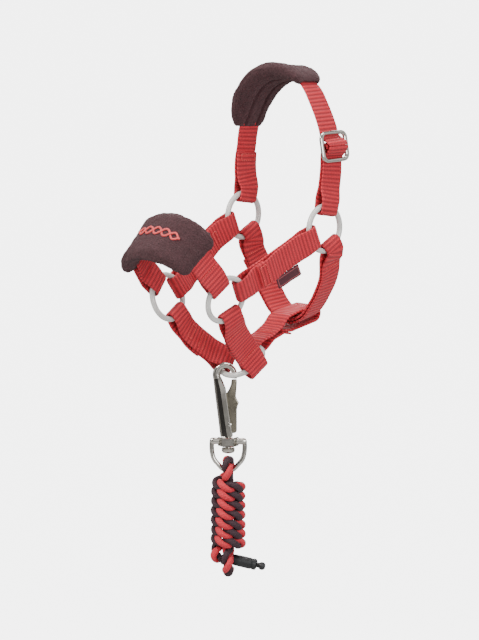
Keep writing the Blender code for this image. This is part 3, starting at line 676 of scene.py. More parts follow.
def cord_material(name, light, dark):
    made, tree, principled = new_material(name, 0.75, sheen_weight=0.06, sheen_roughness=0.5)
    sheath = placed_group(tree, CORD_SHEATH, Place=surface_map(tree), Plait_Pitch=0.75, Yarns=7.0)
    cloth = placed_group(tree, CLOTH_PATCHES, Place=millimetres(tree), Size=5.0, Fineness=0.4)
    # Painted shade: the plait's grooves are darkened toward the dark colour.
    groove = maths(tree, "MULTIPLY", sheath["Groove Shade"], 0.55)
    colour = mixed(tree, groove, (*light, 1.0), (*dark, 1.0))
    patches = maths(tree, "MULTIPLY", cloth["Patches"], 0.2)
    colour = mixed(tree, patches, colour, (*dark, 1.0))
    pale = tuple(min(1.0, c * 1.2 + 0.015) for c in light)
    colour = mixed(tree, maths(tree, "MULTIPLY", cloth["Fluff"], 0.2), colour, (*pale, 1.0))
    tree.links.new(colour, principled.inputs["Base Color"])
    bumped(tree, principled, sheath["Height"], 0.00012, 0.8)
    return made


def thread_material(name, light, dark):
    made, tree, principled = new_material(name, 0.55, sheen_weight=0.2, sheen_roughness=0.4)
    cloth = placed_group(tree, CLOTH_PATCHES, Place=millimetres(tree), Size=1.2, Fineness=0.2)
    colour = mixed(tree, cloth["Fluff"], (*light, 1.0), (*dark, 1.0))
    tree.links.new(colour, principled.inputs["Base Color"])
    bumped(tree, principled, cloth["Fluff"], 0.00005, 0.7)
    return made


def label_material(name):
    """Fine woven tab with a plain lighter border woven in."""
    made, tree, principled = new_material(name, 0.6, sheen_weight=0.15, sheen_roughness=0.4)
    place = surface_map(tree)
    weave = placed_group(
        tree, RIB_WEAVE, Place=place, Rib_Pitch=0.32, Stitch_Pitch=0.3, Stitch_Share=0.5
    )
    split = node(tree, "SeparateXYZ", {0: place}).outputs
    edges = []
    for value, half in ((split["X"], LABEL_LENGTH / 2), (split["Y"], LABEL_DROP / 2)):
        far = maths(tree, "SUBTRACT", half, maths(tree, "ABSOLUTE", value))
        near_line = maths(tree, "ABSOLUTE", maths(tree, "SUBTRACT", far, 0.75))
        line = maths(tree, "LESS_THAN", near_line, 0.14)
        inside = maths(tree, "GREATER_THAN", far, 0.6)
        edges.append((line, inside))
    ends = maths(tree, "MULTIPLY", edges[0][0], edges[1][1])
    long_sides = maths(tree, "MULTIPLY", edges[1][0], edges[0][1])
    border = maths(tree, "ADD", ends, long_sides, clamp=True)
    # Painted shade: the weave's grooves are darkened; the lighter border is woven in.
    colour = mixed(tree, weave["Groove Shade"], (0.10, 0.005, 0.017, 1.0), (0.04, 0.003, 0.008, 1.0))
    colour = mixed(tree, maths(tree, "MULTIPLY", border, 0.7), colour, (0.45, 0.09, 0.10, 1.0))
    tree.links.new(colour, principled.inputs["Base Color"])
    bumped(tree, principled, weave["Height"], 0.00005, 0.8)
    return made


def rubber_material(name):
    made, tree, principled = new_material(name, 0.5)
    place = millimetres(tree)
    cloth = placed_group(tree, CLOTH_PATCHES, Place=place, Size=3.0, Fineness=0.35)
    colour = mixed(tree, cloth["Patches"], (0.004, 0.0045, 0.005, 1.0), (0.010, 0.011, 0.012, 1.0))
    tree.links.new(colour, principled.inputs["Base Color"])
    rough = remapped(tree, cloth["Fluff"], 0.0, 1.0, 0.42, 0.62)
    tree.links.new(rough, principled.inputs["Roughness"])
    bumped(tree, principled, cloth["Fluff"], 0.00003, 0.6)
    return made


LABEL_LENGTH = 11.2
LABEL_DROP = 4.4

CORAL = (0.70, 0.018, 0.034)
# The deep coral is both the painted shade in the webbing's grooves and the colour of its darker dye
# patches.
CORAL_GROOVE_SHADE_AND_DYE = (0.26, 0.004, 0.010)
webbing = webbing_material("coral_webbing", CORAL, CORAL_GROOVE_SHADE_AND_DYE, RIB_PITCH, 0.45)
fleece = fleece_material("burgundy_fleece", (0.072, 0.020, 0.025), (0.016, 0.005, 0.006))
ring_enamel = ring_material("off_white_enamel")
nickel = nickel_material("cast_nickel", (0.52, 0.49, 0.44), 0.15)
bright_nickel = nickel_material("rolled_nickel", (0.58, 0.55, 0.50), 0.12, 3.0)
gate_nickel = nickel_material("gate_nickel", (0.25, 0.225, 0.175), 0.24)
# Near-black nickel for the limb's groove floor: painted shade and dark reflection.
nickel_shadow = nickel_material("nickel_painted_shade_in_the_groove", (0.05, 0.046, 0.042), 0.3)
coral_cord = cord_material("coral_cord", (0.72, 0.026, 0.045), (0.34, 0.006, 0.014))
burgundy_cord = cord_material("burgundy_cord", (0.040, 0.010, 0.018), (0.012, 0.003, 0.006))
coral_thread = thread_material("coral_thread", (0.82, 0.09, 0.085), (0.5, 0.025, 0.03))
tab_cloth = label_material("woven_tab")
rubber = rubber_material("black_rubber")


# Lead rope

TWIST_START = math.radians(40.0)
LAY_LENGTH = 8.9  # along the rope for one full twist of its two cords


def half_circle(radius, start):
    """Nine places round half a circle, turning down from the start."""
    angles = [start - math.pi * k / 8 for k in range(9)]
    return [(radius * math.cos(angle), radius * math.sin(angle)) for angle in angles]


def rope_route():
    """The rope's middle line: down the hank's core, round the bight, up the core, over the bow,
    round and round down the hank, and out through the bight to its cap."""
    core = 1.1
    top, bottom = HANK_TOP - ROPE / 2, HANK_BOTTOM + ROPE / 2
    low = HANK_BOTTOM - GAP
    guides = [(0, core, top), (0, core, (top + bottom) / 2), (0, core + 0.3, bottom)]
    for y, z in half_circle(BIGHT_RADIUS, 0.0):
        guides.append((0, y, TAIL_HEIGHT + z))
    guides += [(0, -core - 0.3, bottom), (0, -core, (top + bottom) / 2), (0, -core, top)]
    guides.append((0, -ROPE_EYE_RADIUS + 0.4, HANK_TOP + GAP))
    for y, z in half_circle(ROPE_EYE_RADIUS, math.pi):
        guides.append((0, y, BOW_BOTTOM + z))
    line = smooth_points([Vector(guide) for guide in guides], 10)
    turns = 7.25
    per_turn = 40
    wound = []
    count = round(turns * per_turn)
    for k in range(count + 1):
        t = k / count
        angle = math.radians(90) + 2 * math.pi * turns * t
        height = top + (bottom - top) * t
        wander = noise.noise(Vector((k / 37.0, 3.3, 0.0)))
        radius = 4.25 + 0.22 * wander - 0.5 * (1 - ease(t * 9)) - 0.25 * ease((t - 0.93) / 0.07)
        height += 0.35 * noise.noise(Vector((9.1, k / 29.0, 1.7))) * min(1.0, 6 * t, 6 * (1 - t))
        wound.append(Vector((radius * math.cos(angle), radius * math.sin(angle), height)))
    tail = [wound[-1]]
    tail += [Vector((-4.6, -0.9, low + 0.2)), Vector((-4.0, -0.5, TAIL_HEIGHT + 0.7))]
    tail.append(Vector((-2.2, -0.1, TAIL_HEIGHT)))
    tail.append(Vector((CAP_START - SWIVEL_AT + 0.4, 0, TAIL_HEIGHT - 0.1)))
    into_turns = smooth_points([line[-1], Vector((0.0, 3.9, HANK_TOP - 0.2)), wound[6]], 10)
    points = line[:-1] + into_turns + wound[7:-1] + smooth_points(tail, 12)
    shift = Vector((SWIVEL_AT, 0.0, 0.0))
    first = len(line) + len(into_turns) - 2
    return [SNAP_FRAME @ (point + shift) for point in points], first, first + len(wound) - 7


def rope_frames(points, first, last):
    """A tangent and an outward direction at each point; past the hank's turns the direction
    is carried on with as little turning as it can."""
    axis = SNAP_FRAME @ Vector((SWIVEL_AT, 0.0, 0.0))
    tangents = []
    for i in range(len(points)):
        step = points[min(i + 1, len(points) - 1)] - points[max(i - 1, 0)]
        tangents.append(step.normalized())
    outs = [None] * len(points)

    def settle(i, wanted):
        outs[i] = (wanted - tangents[i] * wanted.dot(tangents[i])).normalized()

    for i in range(first, last):
        radial = points[i] - axis
        settle(i, Vector((radial.x, radial.y, 0.0)))
    for i in range(last, len(points)):
        settle(i, outs[i - 1])
    for i in range(first - 1, -1, -1):
        settle(i, outs[i + 1])
    return list(zip(points, tangents, outs))


def lead_rope():
    """Two cords twisted together, three twists to each turn of the hank."""
    route, first_turn, last_turn = rope_route()
    reach = reach_along(route)
    points = spaced(route, 0.4)
    spacing = reach[-1] / (len(points) - 1)
    first = round(reach[first_turn] / spacing)
    last = round(reach[last_turn] / spacing)
    bm = bmesh.new()
    for slot, phase in ((0, 0.0), (1, math.pi)):
        stations = []
        for i, (point, tangent, out) in enumerate(rope_frames(points, first, last)):
            angle = phase + TWIST_START + 2 * math.pi * (i - first) * spacing / LAY_LENGTH
            lean = out * math.cos(angle) + tangent.cross(out) * math.sin(angle)
            stations.append((point + lean * 1.02, lean, tangent.cross(lean), 1.04, 1.42))
        sweep(bm, stations, circle(10), slot=slot)
    rope = add_piece(
        "lead_rope",
        mesh_from(bm, "lead_rope", 180),
        "lead",
        [coral_cord, burgundy_cord],
        ("rope_eye", "rope_hank", "rope_bight", "rope_tail"),
    )
    return rope, points


# Webbing


class End:
    """How a doubled strap's two layers open round what it holds."""

    def __init__(self, radius=EYE_RADIUS, hold=EYE_HOLD, close=EYE_CLOSE, gather=FOLD_WIDTH):
        self.radius = radius
        self.hold = hold
        self.close = close
        self.gather = gather

    def opening(self, distance):
        share = 1 - ease((distance - self.hold) / self.close)
        return (self.radius - LAYER_OFFSET) * share

    def half_width(self, distance):
        return (WEB_WIDTH - (WEB_WIDTH - self.gather) * (1 - ease(distance / GATHER_LENGTH))) / 2


RING_END = End()


def layer_offset(course, u, side, start=RING_END, end=RING_END):
    return side * (LAYER_OFFSET + start.opening(u) + end.opening(course.length - u))


def stations_between(low, high, spacing=1.2):
    count = max(2, round(abs(high - low) / spacing))
    return [low + (high - low) * k / count for k in range(count + 1)]


def fold(centre, radius, shift, first, last, count=12):
    """Places (u, n) round a fold, its angles in degrees."""
    places = []
    for k in range(count + 1):
        angle = math.radians(first + (last - first) * k / count)
        places.append((centre + radius * math.cos(angle), shift + radius * math.sin(angle)))
    return places


def strap_mesh(name, course, route, start=RING_END, end=RING_END):
    """A strip of ribbed webbing along a route of (u, n): every other row of its cage is a groove
    between two ribs, and the thickness and rounding come from its modifiers."""
    lefts, rights, middles = [], [], []
    for u, n in route:
        inside = min(max(u, 0.0), course.length)
        half = min(start.half_width(inside), end.half_width(course.length - inside))
        lefts.append(course.point(u, -half, n))
        rights.append(course.point(u, half, n))
        middles.append(lefts[-1].lerp(rights[-1], 0.5))
    reach = reach_along(middles)
    rows = max(4, round(reach[-1] / (RIB_PITCH / 2)))
    columns = 8
    bm = bmesh.new()
    uv = bm.loops.layers.uv.new("UVMap")
    grid = []
    seed = sum(ord(letter) for letter in name) * 0.37
    for k in range(rows + 1):
        s = reach[-1] * k / rows
        i = min(max(bisect_right(reach, s) - 1, 0), len(middles) - 2)
        t = (s - reach[i]) / max(reach[i + 1] - reach[i], 1e-6)
        left, right = lefts[i].lerp(lefts[i + 1], t), rights[i].lerp(rights[i + 1], t)
        across = (right - left).normalized()
        out = (middles[i + 1] - middles[i]).normalized().cross(across)
        wander = 0.16 * noise.noise(Vector((s / 7.0, seed, 0.0)))
        row = []
        for j in range(columns + 1):
            share = 2 * j / columns - 1
            lift = 0.09 * noise.noise(Vector((s / 4.0, share * 1.3, seed + 5.0)))
            scallop = (0.1 if k % 2 else 0.0) * (1 if abs(share) == 1 else 0) * -share
            place = left.lerp(right, j / columns) + across * (wander + scallop) + out * lift
            row.append(bm.verts.new(place * MM))
        grid.append(row)
    for k in range(rows):
        for j in range(columns):
            face = bm.faces.new((grid[k][j], grid[k][j + 1], grid[k + 1][j + 1], grid[k + 1][j]))
            corners = ((k, j), (k, j + 1), (k + 1, j + 1), (k + 1, j))
            for loop, (a, b) in zip(face.loops, corners):
                loop[uv].uv = (a * RIB_PITCH / 2, (b / columns - 0.5) * WEB_WIDTH)
    bm.verts.index_update()
    grooves = [vert.index for row in grid[1::2] for vert in row]
    mesh = mesh_from(bm, name, 180)
    cage = holder(name, mesh)
    ribs = cage.vertex_groups.new(name="ribs")
    ribs.add(range(len(mesh.vertices)), 1.0, "REPLACE")
    ribs.add(grooves, 0.0, "REPLACE")
    thick = cage.modifiers.new("Thickness", "SOLIDIFY")
    thick.thickness = WEB_THICK * 1.12 * MM
    thick.offset = 0.0
    thick.vertex_group = "ribs"
    thick.thickness_vertex_group = 0.72
    subdivide(cage, 1)
    return applied(cage)


def sewn_route(course, hem, side, start, end):
    """Down one layer, round the end fold and back under the hem: the raised end of the webbing
    is sewn over the tucked one at a distance hem before the end."""
    length = course.length
    step = WEB_THICK + 0.15
    edge = length - hem

    def layer(face, first, last):
        places = stations_between(first, last)
        return [(u, layer_offset(course, u, face, start, end)) for u in places]

    route = []
    for u, n in layer(side, edge, 0.0):
        route.append((u, n + side * step * (1 - ease((edge - u - 5.0) / 6.0))))
    route += fold(0.0, start.radius, 0.0, 180 - 90 * side, 180 + 90 * side)[1:-1]
    route += layer(-side, 0.0, length)
    route += fold(length, end.radius, 0.0, -90 * side, 90 * side)[1:-1]
    return route + layer(side, length, max(edge - 4.0, 2.0))


def along_rings(ring_a, angle_a, ring_b, angle_b, middle=(), lead=3.0, acrosses=()):
    """The course of a strap between two rings, straight where it leaves each."""
    eye_a = ring_a.eye(angle_a)
    eye_b = ring_b.eye(angle_b)
    guides = [eye_a, eye_a + ring_a.leave(angle_a) * lead]
    guides += [Vector(point) for point in middle]
    guides += [eye_b + ring_b.leave(angle_b) * lead, eye_b]
    widths = [ring_a.across(angle_a), *acrosses]
    last = ring_b.across(angle_b)
    widths.append(last if last.dot(widths[0]) > 0 else -last)
    return Course(guides, widths)


CROWN = along_rings(
    UPPER,
    CROWN_ANGLE,
    FAR_UPPER,
    CROWN_ANGLE,
    [
        (19.9, -0.6, -38.0),
        (19.6, 0.9, -25.0),
        (17.9, 0.8, -16.5),
        (14.2, 0.6, -7.0),
        (9.2, 0.2, 0.0),
        (0.0, 0.0, STRAP_TOP),
        (-9.6, 0.0, 0.6),
        (-16.2, -0.2, -6.5),
        (-19.4, -0.6, -18.0),
        (-20.1, -1.6, -33.0),
    ],
)
NOSEBAND = along_rings(
    NOSE,
    NOSEBAND_ANGLE,
    FAR_NOSE,
    NOSEBAND_ANGLE,
    [
        (15.6, -56.5, -62.5),
        (12.4, -63.0, -54.6),
        (6.6, -66.2, -50.8),
        (0.0, -67.0, -49.9),
        (-6.6, -66.4, -51.6),
        (-12.4, -63.2, -56.0),
        (-15.6, -56.7, -64.0),
    ],
)
NEAR_CHEEK = along_rings(UPPER, CHEEK_UPPER_ANGLE, NOSE, CHEEK_NOSE_ANGLE)
FAR_CHEEK = along_rings(FAR_UPPER, CHEEK_UPPER_ANGLE, FAR_NOSE, CHEEK_NOSE_ANGLE)
THROAT = along_rings(
    UPPER,
    THROAT_ANGLE,
    FAR_UPPER,
    THROAT_ANGLE,
    [
        (19.6, 1.0, -61.0),
        (17.0, 2.8, -68.5),
        (12.2, 3.3, -77.0),
        (6.3, 3.4, -83.6),
        (0.0, 3.4, -85.4),
        (-6.3, 3.4, -83.2),
        (-12.2, 3.3, -76.3),
        (-17.0, 2.8, -67.5),
        (-19.6, 1.0, -59.6),
    ],
    acrosses=(Vector((0.0, 1.0, 0.18)),),
)
CHIN_END = End(radius=2.75, hold=0.6, close=7.0)
JOWL_END = End(radius=2.8, hold=12.5, close=5.5, gather=WEB_WIDTH)


def chin_course(side_ring, angle):
    out = CHIN.back * math.cos(math.radians(angle)) + CHIN_FRONT * math.sin(math.radians(angle))
    wire_place = CHIN.centre + out * (RING_RADIUS - 0.6)
    eye = side_ring.eye(CHIN_ANGLE)
    top_across = side_ring.across(CHIN_ANGLE)
    bottom_across = out.cross(CHIN.normal)
    if bottom_across.dot(top_across) < 0:
        bottom_across = -bottom_across
    guides = [eye, eye + side_ring.leave(CHIN_ANGLE) * 3.0, wire_place]
    return Course(guides, [top_across, bottom_across])


NEAR_CHIN = chin_course(NOSE, CHIN_RING_ANGLE)
FAR_CHIN = chin_course(FAR_NOSE, 180 - CHIN_RING_ANGLE)
jowl_eye = CHIN.centre - CHIN_FRONT * EYE_DISTANCE
JOWL = Course(
    [
        jowl_eye,
        jowl_eye - CHIN_FRONT * 3.0,
        Vector((0.0, -7.0, -87.4)),
        Vector((0.0, 3.4, -84.8)),
        Vector((0.0, 8.9, -83.9)),
    ],
    [SIDE, SIDE],
)


def outward(course, u):
    """The side of a strap that faces away from the pony's head."""
    middle, across, out = course.at(u)
    away = middle - Vector((0.0, -25.0, -60.0))
    return 1 if out.dot(away) > 0 else -1


STRAPS = (
    # name, course, hem from its end, which face the hem is on, start, end
    ("cheek_strap_near", NEAR_CHEEK, 8.5, 1, RING_END, RING_END),
    ("cheek_strap_far", FAR_CHEEK, 10.0, -1, RING_END, RING_END),
    ("noseband_strap", NOSEBAND, 9.0, -1, RING_END, RING_END),
    ("chin_strap_near", NEAR_CHIN, 10.5, -1, RING_END, CHIN_END),
    ("chin_strap_far", FAR_CHIN, 10.5, 1, RING_END, CHIN_END),
    ("throat_strap", THROAT, 9.0, 1, RING_END, RING_END),
    ("jowl_strap", JOWL, 13.5, 1, RING_END, JOWL_END),
)


def make_straps():
    for name, course, hem, face, start, end in STRAPS:
        side = face * outward(course, course.length / 2)
        route = sewn_route(course, hem, side, start, end)
        mesh = strap_mesh(name + "_webbing", course, route, start, end)
        add_piece(name + "_webbing", mesh, "headcollar", webbing, (name,))


def crown_routes():
    """The crown strap in two lengths that meet on the crest over the slider's centre bar: the
    near end with its sewn loop, and the length that runs over the poll to the far ring."""
    length = CROWN.length
    top = SLIDER_AT
    lower = fold(top, WRAP_RADIUS, CENTRE_BAR_OUT, 130, -90, 12)
    inner = CENTRE_BAR_OUT - WRAP_RADIUS
    for u in stations_between(top - 2.0, 2.4):
        settle = ease((top - u) / 4.0)
        lower.append((u, inner + (layer_offset(CROWN, u, -1) - inner) * settle))
    lower += fold(0.0, EYE_RADIUS, 0.0, 270, 90)
    lower += [(u, layer_offset(CROWN, u, 1)) for u in stations_between(2.4, top - CLIMB_LENGTH)]
    climb = []
    for k in range(1, 33):
        u = top - CLIMB_LENGTH + CLIMB_LENGTH * k / 16
        rise = 0.5 + 0.5 * math.cos(math.pi * (u - top) / CLIMB_LENGTH)
        climb.append((u, LAYER_OFFSET + CLIMB_HEIGHT * rise))
    lower += climb[:16]
    upper = climb[15:]
    hem_start = length - FAR_HEM_LENGTH
    for u in stations_between(top + CLIMB_LENGTH + 1.2, hem_start)[:-1]:
        settle = ease((u - top - CLIMB_LENGTH - 1.2) / 9.0)
        upper.append((u, LAYER_OFFSET * (1 - settle)))
    for u in stations_between(hem_start, length):
        n = layer_offset(CROWN, u, 1)
        upper.append((u, n * ease((u - hem_start) / 5.0 + 0.15)))
    upper += fold(length, EYE_RADIUS, 0.0, 90, -90)[1:]
    tucked = stations_between(length - 1.2, hem_start + 1.5)
    return lower, upper + [(u, layer_offset(CROWN, u, -1)) for u in tucked]


def make_crown_strap():
    """On the real headcollar the two lengths at the slider give and take webbing as it moves along
    them; here they are baked where they lie, on no body. The far one starts inside the crown pad
    and stays still."""
    crest = CROWN.point(SLIDER_AT, 0.0, LAYER_OFFSET)
    lower, upper = crown_routes()
    inside_pad = next(i for i, (u, _) in enumerate(upper) if u > UNDER_POLL_PAD)
    for name, route, body, fixed_at in (
        ("crown_strap_far_end", upper[inside_pad:], "headcollar", None),
        ("crown_strap_adjusting_end", lower, None, 3.0),
        ("crown_strap_over_poll", upper[: inside_pad + 1], None, 44.0),
    ):
        mesh = strap_mesh(name, CROWN, route)
        piece = add_piece(name, mesh, body, webbing, ("crown_strap",))
        if fixed_at:
            start = CROWN.point(fixed_at, 0.0, LAYER_OFFSET)
            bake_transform(piece)


# Fleece pads

PAD_THICK = 5.4
SIM_SCALE = 20.0  # the cloth solver is steadier on a pad of furniture size
VOXEL = 1.35
SWELL_CAP = 0.7


def crown_flare(t, side):
    lift = 1.8 if side < 0 else 1.0
    return lift * side * side * math.sin(math.pi * t)


def crown_half_width(t):
    return 6.6 + 5.2 * math.sin(math.pi * t) ** 0.7


def nose_flare(t, side):
    corner = 0.9 * abs(side) ** 3 * (1 - math.sin(math.pi * t))
    return 0.9 * side * side * math.sin(math.pi * t) + corner


def nose_half_width(t):
    return 8.6 + 3.4 * math.sin(math.pi * t) ** 0.7


def pillow(name, course, first, last, half_width, flare):
    """A closed, slightly slack pillow along a strap, thickest over the middle."""
    rows, columns = 40, 24
    bm = bmesh.new()
    faces_of = []
    rim = {}
    for side in (1, -1):
        grid = []
        for k in range(rows + 1):
            t = k / rows
            end = (1 - abs(2 * t - 1) ** 8) ** 0.5
            row = []
            for j in range(columns + 1):
                share = 2 * j / columns - 1
                on_rim = k in (0, rows) or j in (0, columns)
                if on_rim and (k, j) in rim:
                    row.append(rim[(k, j)])
                    continue
                round_off = (1 - abs(share) ** 5) ** 0.5
                height = 0.0 if on_rim else side * (PAD_THICK / 2 - 0.35) * round_off * end
                u = first + (last - first) * t
                corner = 1 - 0.13 * abs(share) ** 3 * abs(2 * t - 1) ** 10
                place = course.point(u, half_width(t) * share * corner, flare(t, share) + height)
                vert = bm.verts.new(place * SIM_SCALE * MM)
                if on_rim:
                    rim[(k, j)] = vert
                row.append(vert)
            grid.append(row)
        faces_of.append(grid)
    for grid, flip in zip(faces_of, (False, True)):
        for k in range(rows):
            for j in range(columns):
                corners = [grid[k][j], grid[k][j + 1], grid[k + 1][j + 1], grid[k + 1][j]]
                bm.faces.new(corners[::-1] if flip else corners)
    bmesh.ops.recalc_face_normals(bm, faces=bm.faces)
    cage = holder(name, mesh_from(bm, name, 180))
    remesh = cage.modifiers.new("Even", "REMESH")
    remesh.mode = "VOXEL"
    remesh.voxel_size = VOXEL * SIM_SCALE * MM
    return applied(cage)


def puffed(name, mesh):
    """The pillow with air in it, its movement capped, back at its own size."""
    rest = [vert.co.copy() for vert in mesh.vertices]
    cage = holder(name, mesh)
    cloth = cage.modifiers.new("Cloth", "CLOTH")
    settings = cloth.settings
    settings.quality = 5
    settings.mass = 0.3
    settings.tension_stiffness = settings.compression_stiffness = 18.0
    settings.bending_stiffness = 1.5
    settings.use_pressure = True
    settings.uniform_pressure_force = 4.0
    settings.effector_weights.gravity = 0.0
    cloth.collision_settings.use_collision = False
    scene = bpy.context.scene
    for number in range(1, 11):
        scene.frame_set(number)
    evaluated = cage.evaluated_get(bpy.context.evaluated_depsgraph_get())
    moved = [vert.co.copy() for vert in evaluated.data.vertices]
    cage.modifiers.clear()
    cap = SWELL_CAP * SIM_SCALE * MM
    for vert, start, end in zip(mesh.vertices, rest, moved):
        shift = end - start
        if shift.length > cap:
            shift *= cap / shift.length
        vert.co = start + shift
    bpy.data.objects.remove(cage)
    scene.frame_set(1)
    mesh.transform(Matrix.Scale(1 / SIM_SCALE, 4))
    return mesh


def sewn_and_napped(name, mesh, course, first, last, half_width, flare, channels):
    """Channel seams, the rim's seam, the mouths that the strap comes out of, and the nap."""
    cage = holder(name, mesh)
    subdivide(cage, 2)
    mesh = applied(cage)
    places = spaced(course.points, 0.4)
    step = course.length / (len(places) - 1)
    tree = KDTree(len(places))
    for index, place in enumerate(places):
        tree.insert(place * MM, index)
    tree.balance()
    frames = [course.at(index * step) for index in range(len(places))]
    normals = [vert.normal.copy() for vert in mesh.vertices]
    for vert, normal in zip(mesh.vertices, normals):
        _, index, _ = tree.find(vert.co)
        middle, across, out = frames[index]
        ahead = across.cross(out)
        away = vert.co / MM - middle
        u, v, n = index * step + away.dot(ahead), away.dot(across), away.dot(out)
        t = min(max((u - first) / (last - first), 0.0), 1.0)
        share = min(max(v / half_width(t), -1.0), 1.0)
        level = n - flare(t, share)
        shift = Vector()
        for line, on_side, depth in channels:
            if level * on_side > 0.8:
                shift -= out * (on_side * depth * math.exp(-(((v - line) / 0.5) ** 2)))
        edge = abs(share) ** 6
        seam = math.exp(-(((level + 0.7) / 0.38) ** 2)) * edge
        shift -= across * (0.42 * seam * (1 if v > 0 else -1))
        mouth = math.exp(-((level / 0.95) ** 2)) * (1 - ease((abs(v) - 4.7) / 1.0))
        if u < first + 1.2:
            shift += ahead * (1.5 * mouth)
        elif u > last - 1.2:
            shift -= ahead * (1.5 * mouth)
        place = vert.co / MM
        nap = 0.17 * noise.noise(place * 0.42) + 0.10 * noise.noise(place * 1.1)
        nap += 0.075 * noise.noise(place * 2.3)
        shift += normal * nap
        vert.co += shift * MM
    return mesh


def make_pad(name, node_name, course, first, last, half_width, flare, channels):
    mesh = puffed(name, pillow(name, course, first, last, half_width, flare))
    mesh = sewn_and_napped(name, mesh, course, first, last, half_width, flare, channels)
    mesh.shade_smooth()
    made = add_piece(name, mesh, "headcollar", fleece, (node_name,))
    return made


def on_surface(tree, place, out, lift):
    """The point over a place where the pad's outer face is, with its normal."""
    hit, normal, _, _ = tree.ray_cast((place + out * 12.0) * MM, -out)
    if hit is None:
        return place + out * (PAD_THICK / 2 + lift), out
    return hit / MM + normal * lift, normal


def embroidery(pad):
    """A plain plait of two crossing threads, worked over the middle of the nose pad."""
    tree = BVHTree.FromObject(pad, bpy.context.evaluated_depsgraph_get())
    middle_u = NOSEBAND.length / 2 - 2.0
    side = outward(NOSEBAND, middle_u)
    bm = bmesh.new()
    for phase in (0.0, math.pi):
        points = []
        for k in range(121):
            t = k / 120
            angle = phase + 2 * math.pi * 2.5 * t
            u = middle_u - 8.0 + 16.0 * t
            middle, across, out = NOSEBAND.at(u)
            sway = 1.5 * math.sin(angle) * min(1.0, 8 * t, 8 * (1 - t))
            lift = 0.18 + 0.16 * math.cos(angle)
            place, _ = on_surface(tree, middle + across * (sway - 0.5), out * side, lift)
            points.append(place)
        frames = frames_along(points, NOSEBAND.at(middle_u)[2])
        stations = []
        for i, (point, tangent, normal) in enumerate(frames):
            swell = 0.34 + 0.07 * math.sin(i * 2.6)
            stations.append((point, normal, tangent.cross(normal), swell, swell * 1.2))
        sweep(bm, stations, circle(6))
    mesh = mesh_from(bm, "nose_pad_embroidery", 180)
    add_piece("nose_pad_embroidery", mesh, "headcollar", coral_thread)


def make_pads():
    far = -outward(CROWN, CROWN.length * 0.6)
    make_pad(
        "crown_fleece_pad",
        "crown_pad",
        CROWN,
        45.5,
        CROWN.length - 24.5,
        crown_half_width,
        crown_flare,
        [(-2.6, far, 0.75), (3.1, far, 0.75)],
    )
    side = -outward(NOSEBAND, NOSEBAND.length / 2)
    pad = make_pad(
        "nose_fleece_pad",
        "nose_pad",
        NOSEBAND,
        12.4,
        NOSEBAND.length - 12.4,
        nose_half_width,
        nose_flare,
        [(-3.0, side, 0.6), (3.0, side, 0.6)],
    )
    embroidery(pad)


# Rings, slider, snap, swivel, tab and rope cap


def make_rings():
    for name, ring, body in (
        ("upper_ring_near", UPPER, "near_upper_ring"),
        ("upper_ring_far", FAR_UPPER, "far_upper_ring"),
        ("nose_ring_near", NOSE, "near_nose_ring"),
        ("nose_ring_far", FAR_NOSE, "far_nose_ring"),
        ("chin_ring", CHIN, "under_chin_ring"),
    ):
        points = [ring.centre + ring.leave(360.0 * k / 96) * RING_RADIUS for k in range(96)]
        bm = bmesh.new()
        sweep(bm, wire_stations(points, RING_WIRE / 2, ring.normal, True), circle(18), closed=True)
        mesh = mesh_from(bm, name + "_wire")
        add_piece(name + "_wire", mesh, body, ring_enamel, (name,))


def rounded_path(width, height, corner, steps=10):
    """Points round a rounded rectangle's middle line, each with its outward direction."""
    places = []
    for sx, sy, start in ((1, 1, 0), (-1, 1, 90), (-1, -1, 180), (1, -1, 270)):
        for k in range(steps + 1):
            angle = math.radians(start + 90 * k / steps)
            lean = Vector((math.cos(angle), math.sin(angle), 0.0))
            middle = Vector((sx * (width / 2 - corner), sy * (height / 2 - corner), 0.0))
            places.append((middle + lean * corner, lean))
    return places


def make_slider():
    """A cast frame, wider at its sides, with a round bar across the middle."""
    middle, across, out = CROWN.at(SLIDER_AT)
    up = out.cross(across)
    turn = Matrix((across, up, out)).transposed().to_4x4()
    place = Matrix.Translation(middle + out * (SLIDER_FACE + SLIDER_THICK / 2)) @ turn
    bm = bmesh.new()
    stations = []
    path = rounded_path(SLIDER_WIDTH - SLIDER_SIDE, SLIDER_HEIGHT - SLIDER_BAR, 2.1)
    for point, lean in path:
        half = (SLIDER_BAR + (SLIDER_SIDE - SLIDER_BAR) * lean.x**2) / 2
        stations.append((point, lean, Vector((0.0, 0.0, 1.0)), half, SLIDER_THICK / 2))
    section = [(a * (1.0 if abs(b) < 0.75 else 0.94), b) for a, b in circle(14)]
    sweep(bm, stations, section, closed=True)
    bar_level = CENTRE_BAR_OUT - SLIDER_FACE - SLIDER_THICK / 2
    half = (SLIDER_WIDTH - SLIDER_SIDE) / 2
    bar = [(-half, 0.0), (-half + 0.9, bar_level), (0.0, bar_level), (half - 0.9, bar_level)]
    bar.append((half, 0.0))
    line = smooth_points([Vector((x, 0.0, z)) for x, z in bar], 6)
    sweep(bm, wire_stations(line, CENTRE_BAR / 2, BACK), circle(12))
    mesh = mesh_from(bm, "slider_frame", 180)
    mesh.transform(scaled_place(place))
    add_piece("slider_frame", mesh, "slider", bright_nickel, ("crown_slider",))


def scaled_place(place):
    """A placing matrix worked out in millimetres, for a mesh already in metres."""
    moved = place.copy()
    moved.translation = place.translation * MM
    return moved


def finish_in_snap_frame(name, mesh, body, material, replaced, local=None):
    mesh.transform(scaled_place(SNAP_FRAME @ (local or Matrix.Identity(4))))
    return add_piece(name, mesh, body, material, replaced)


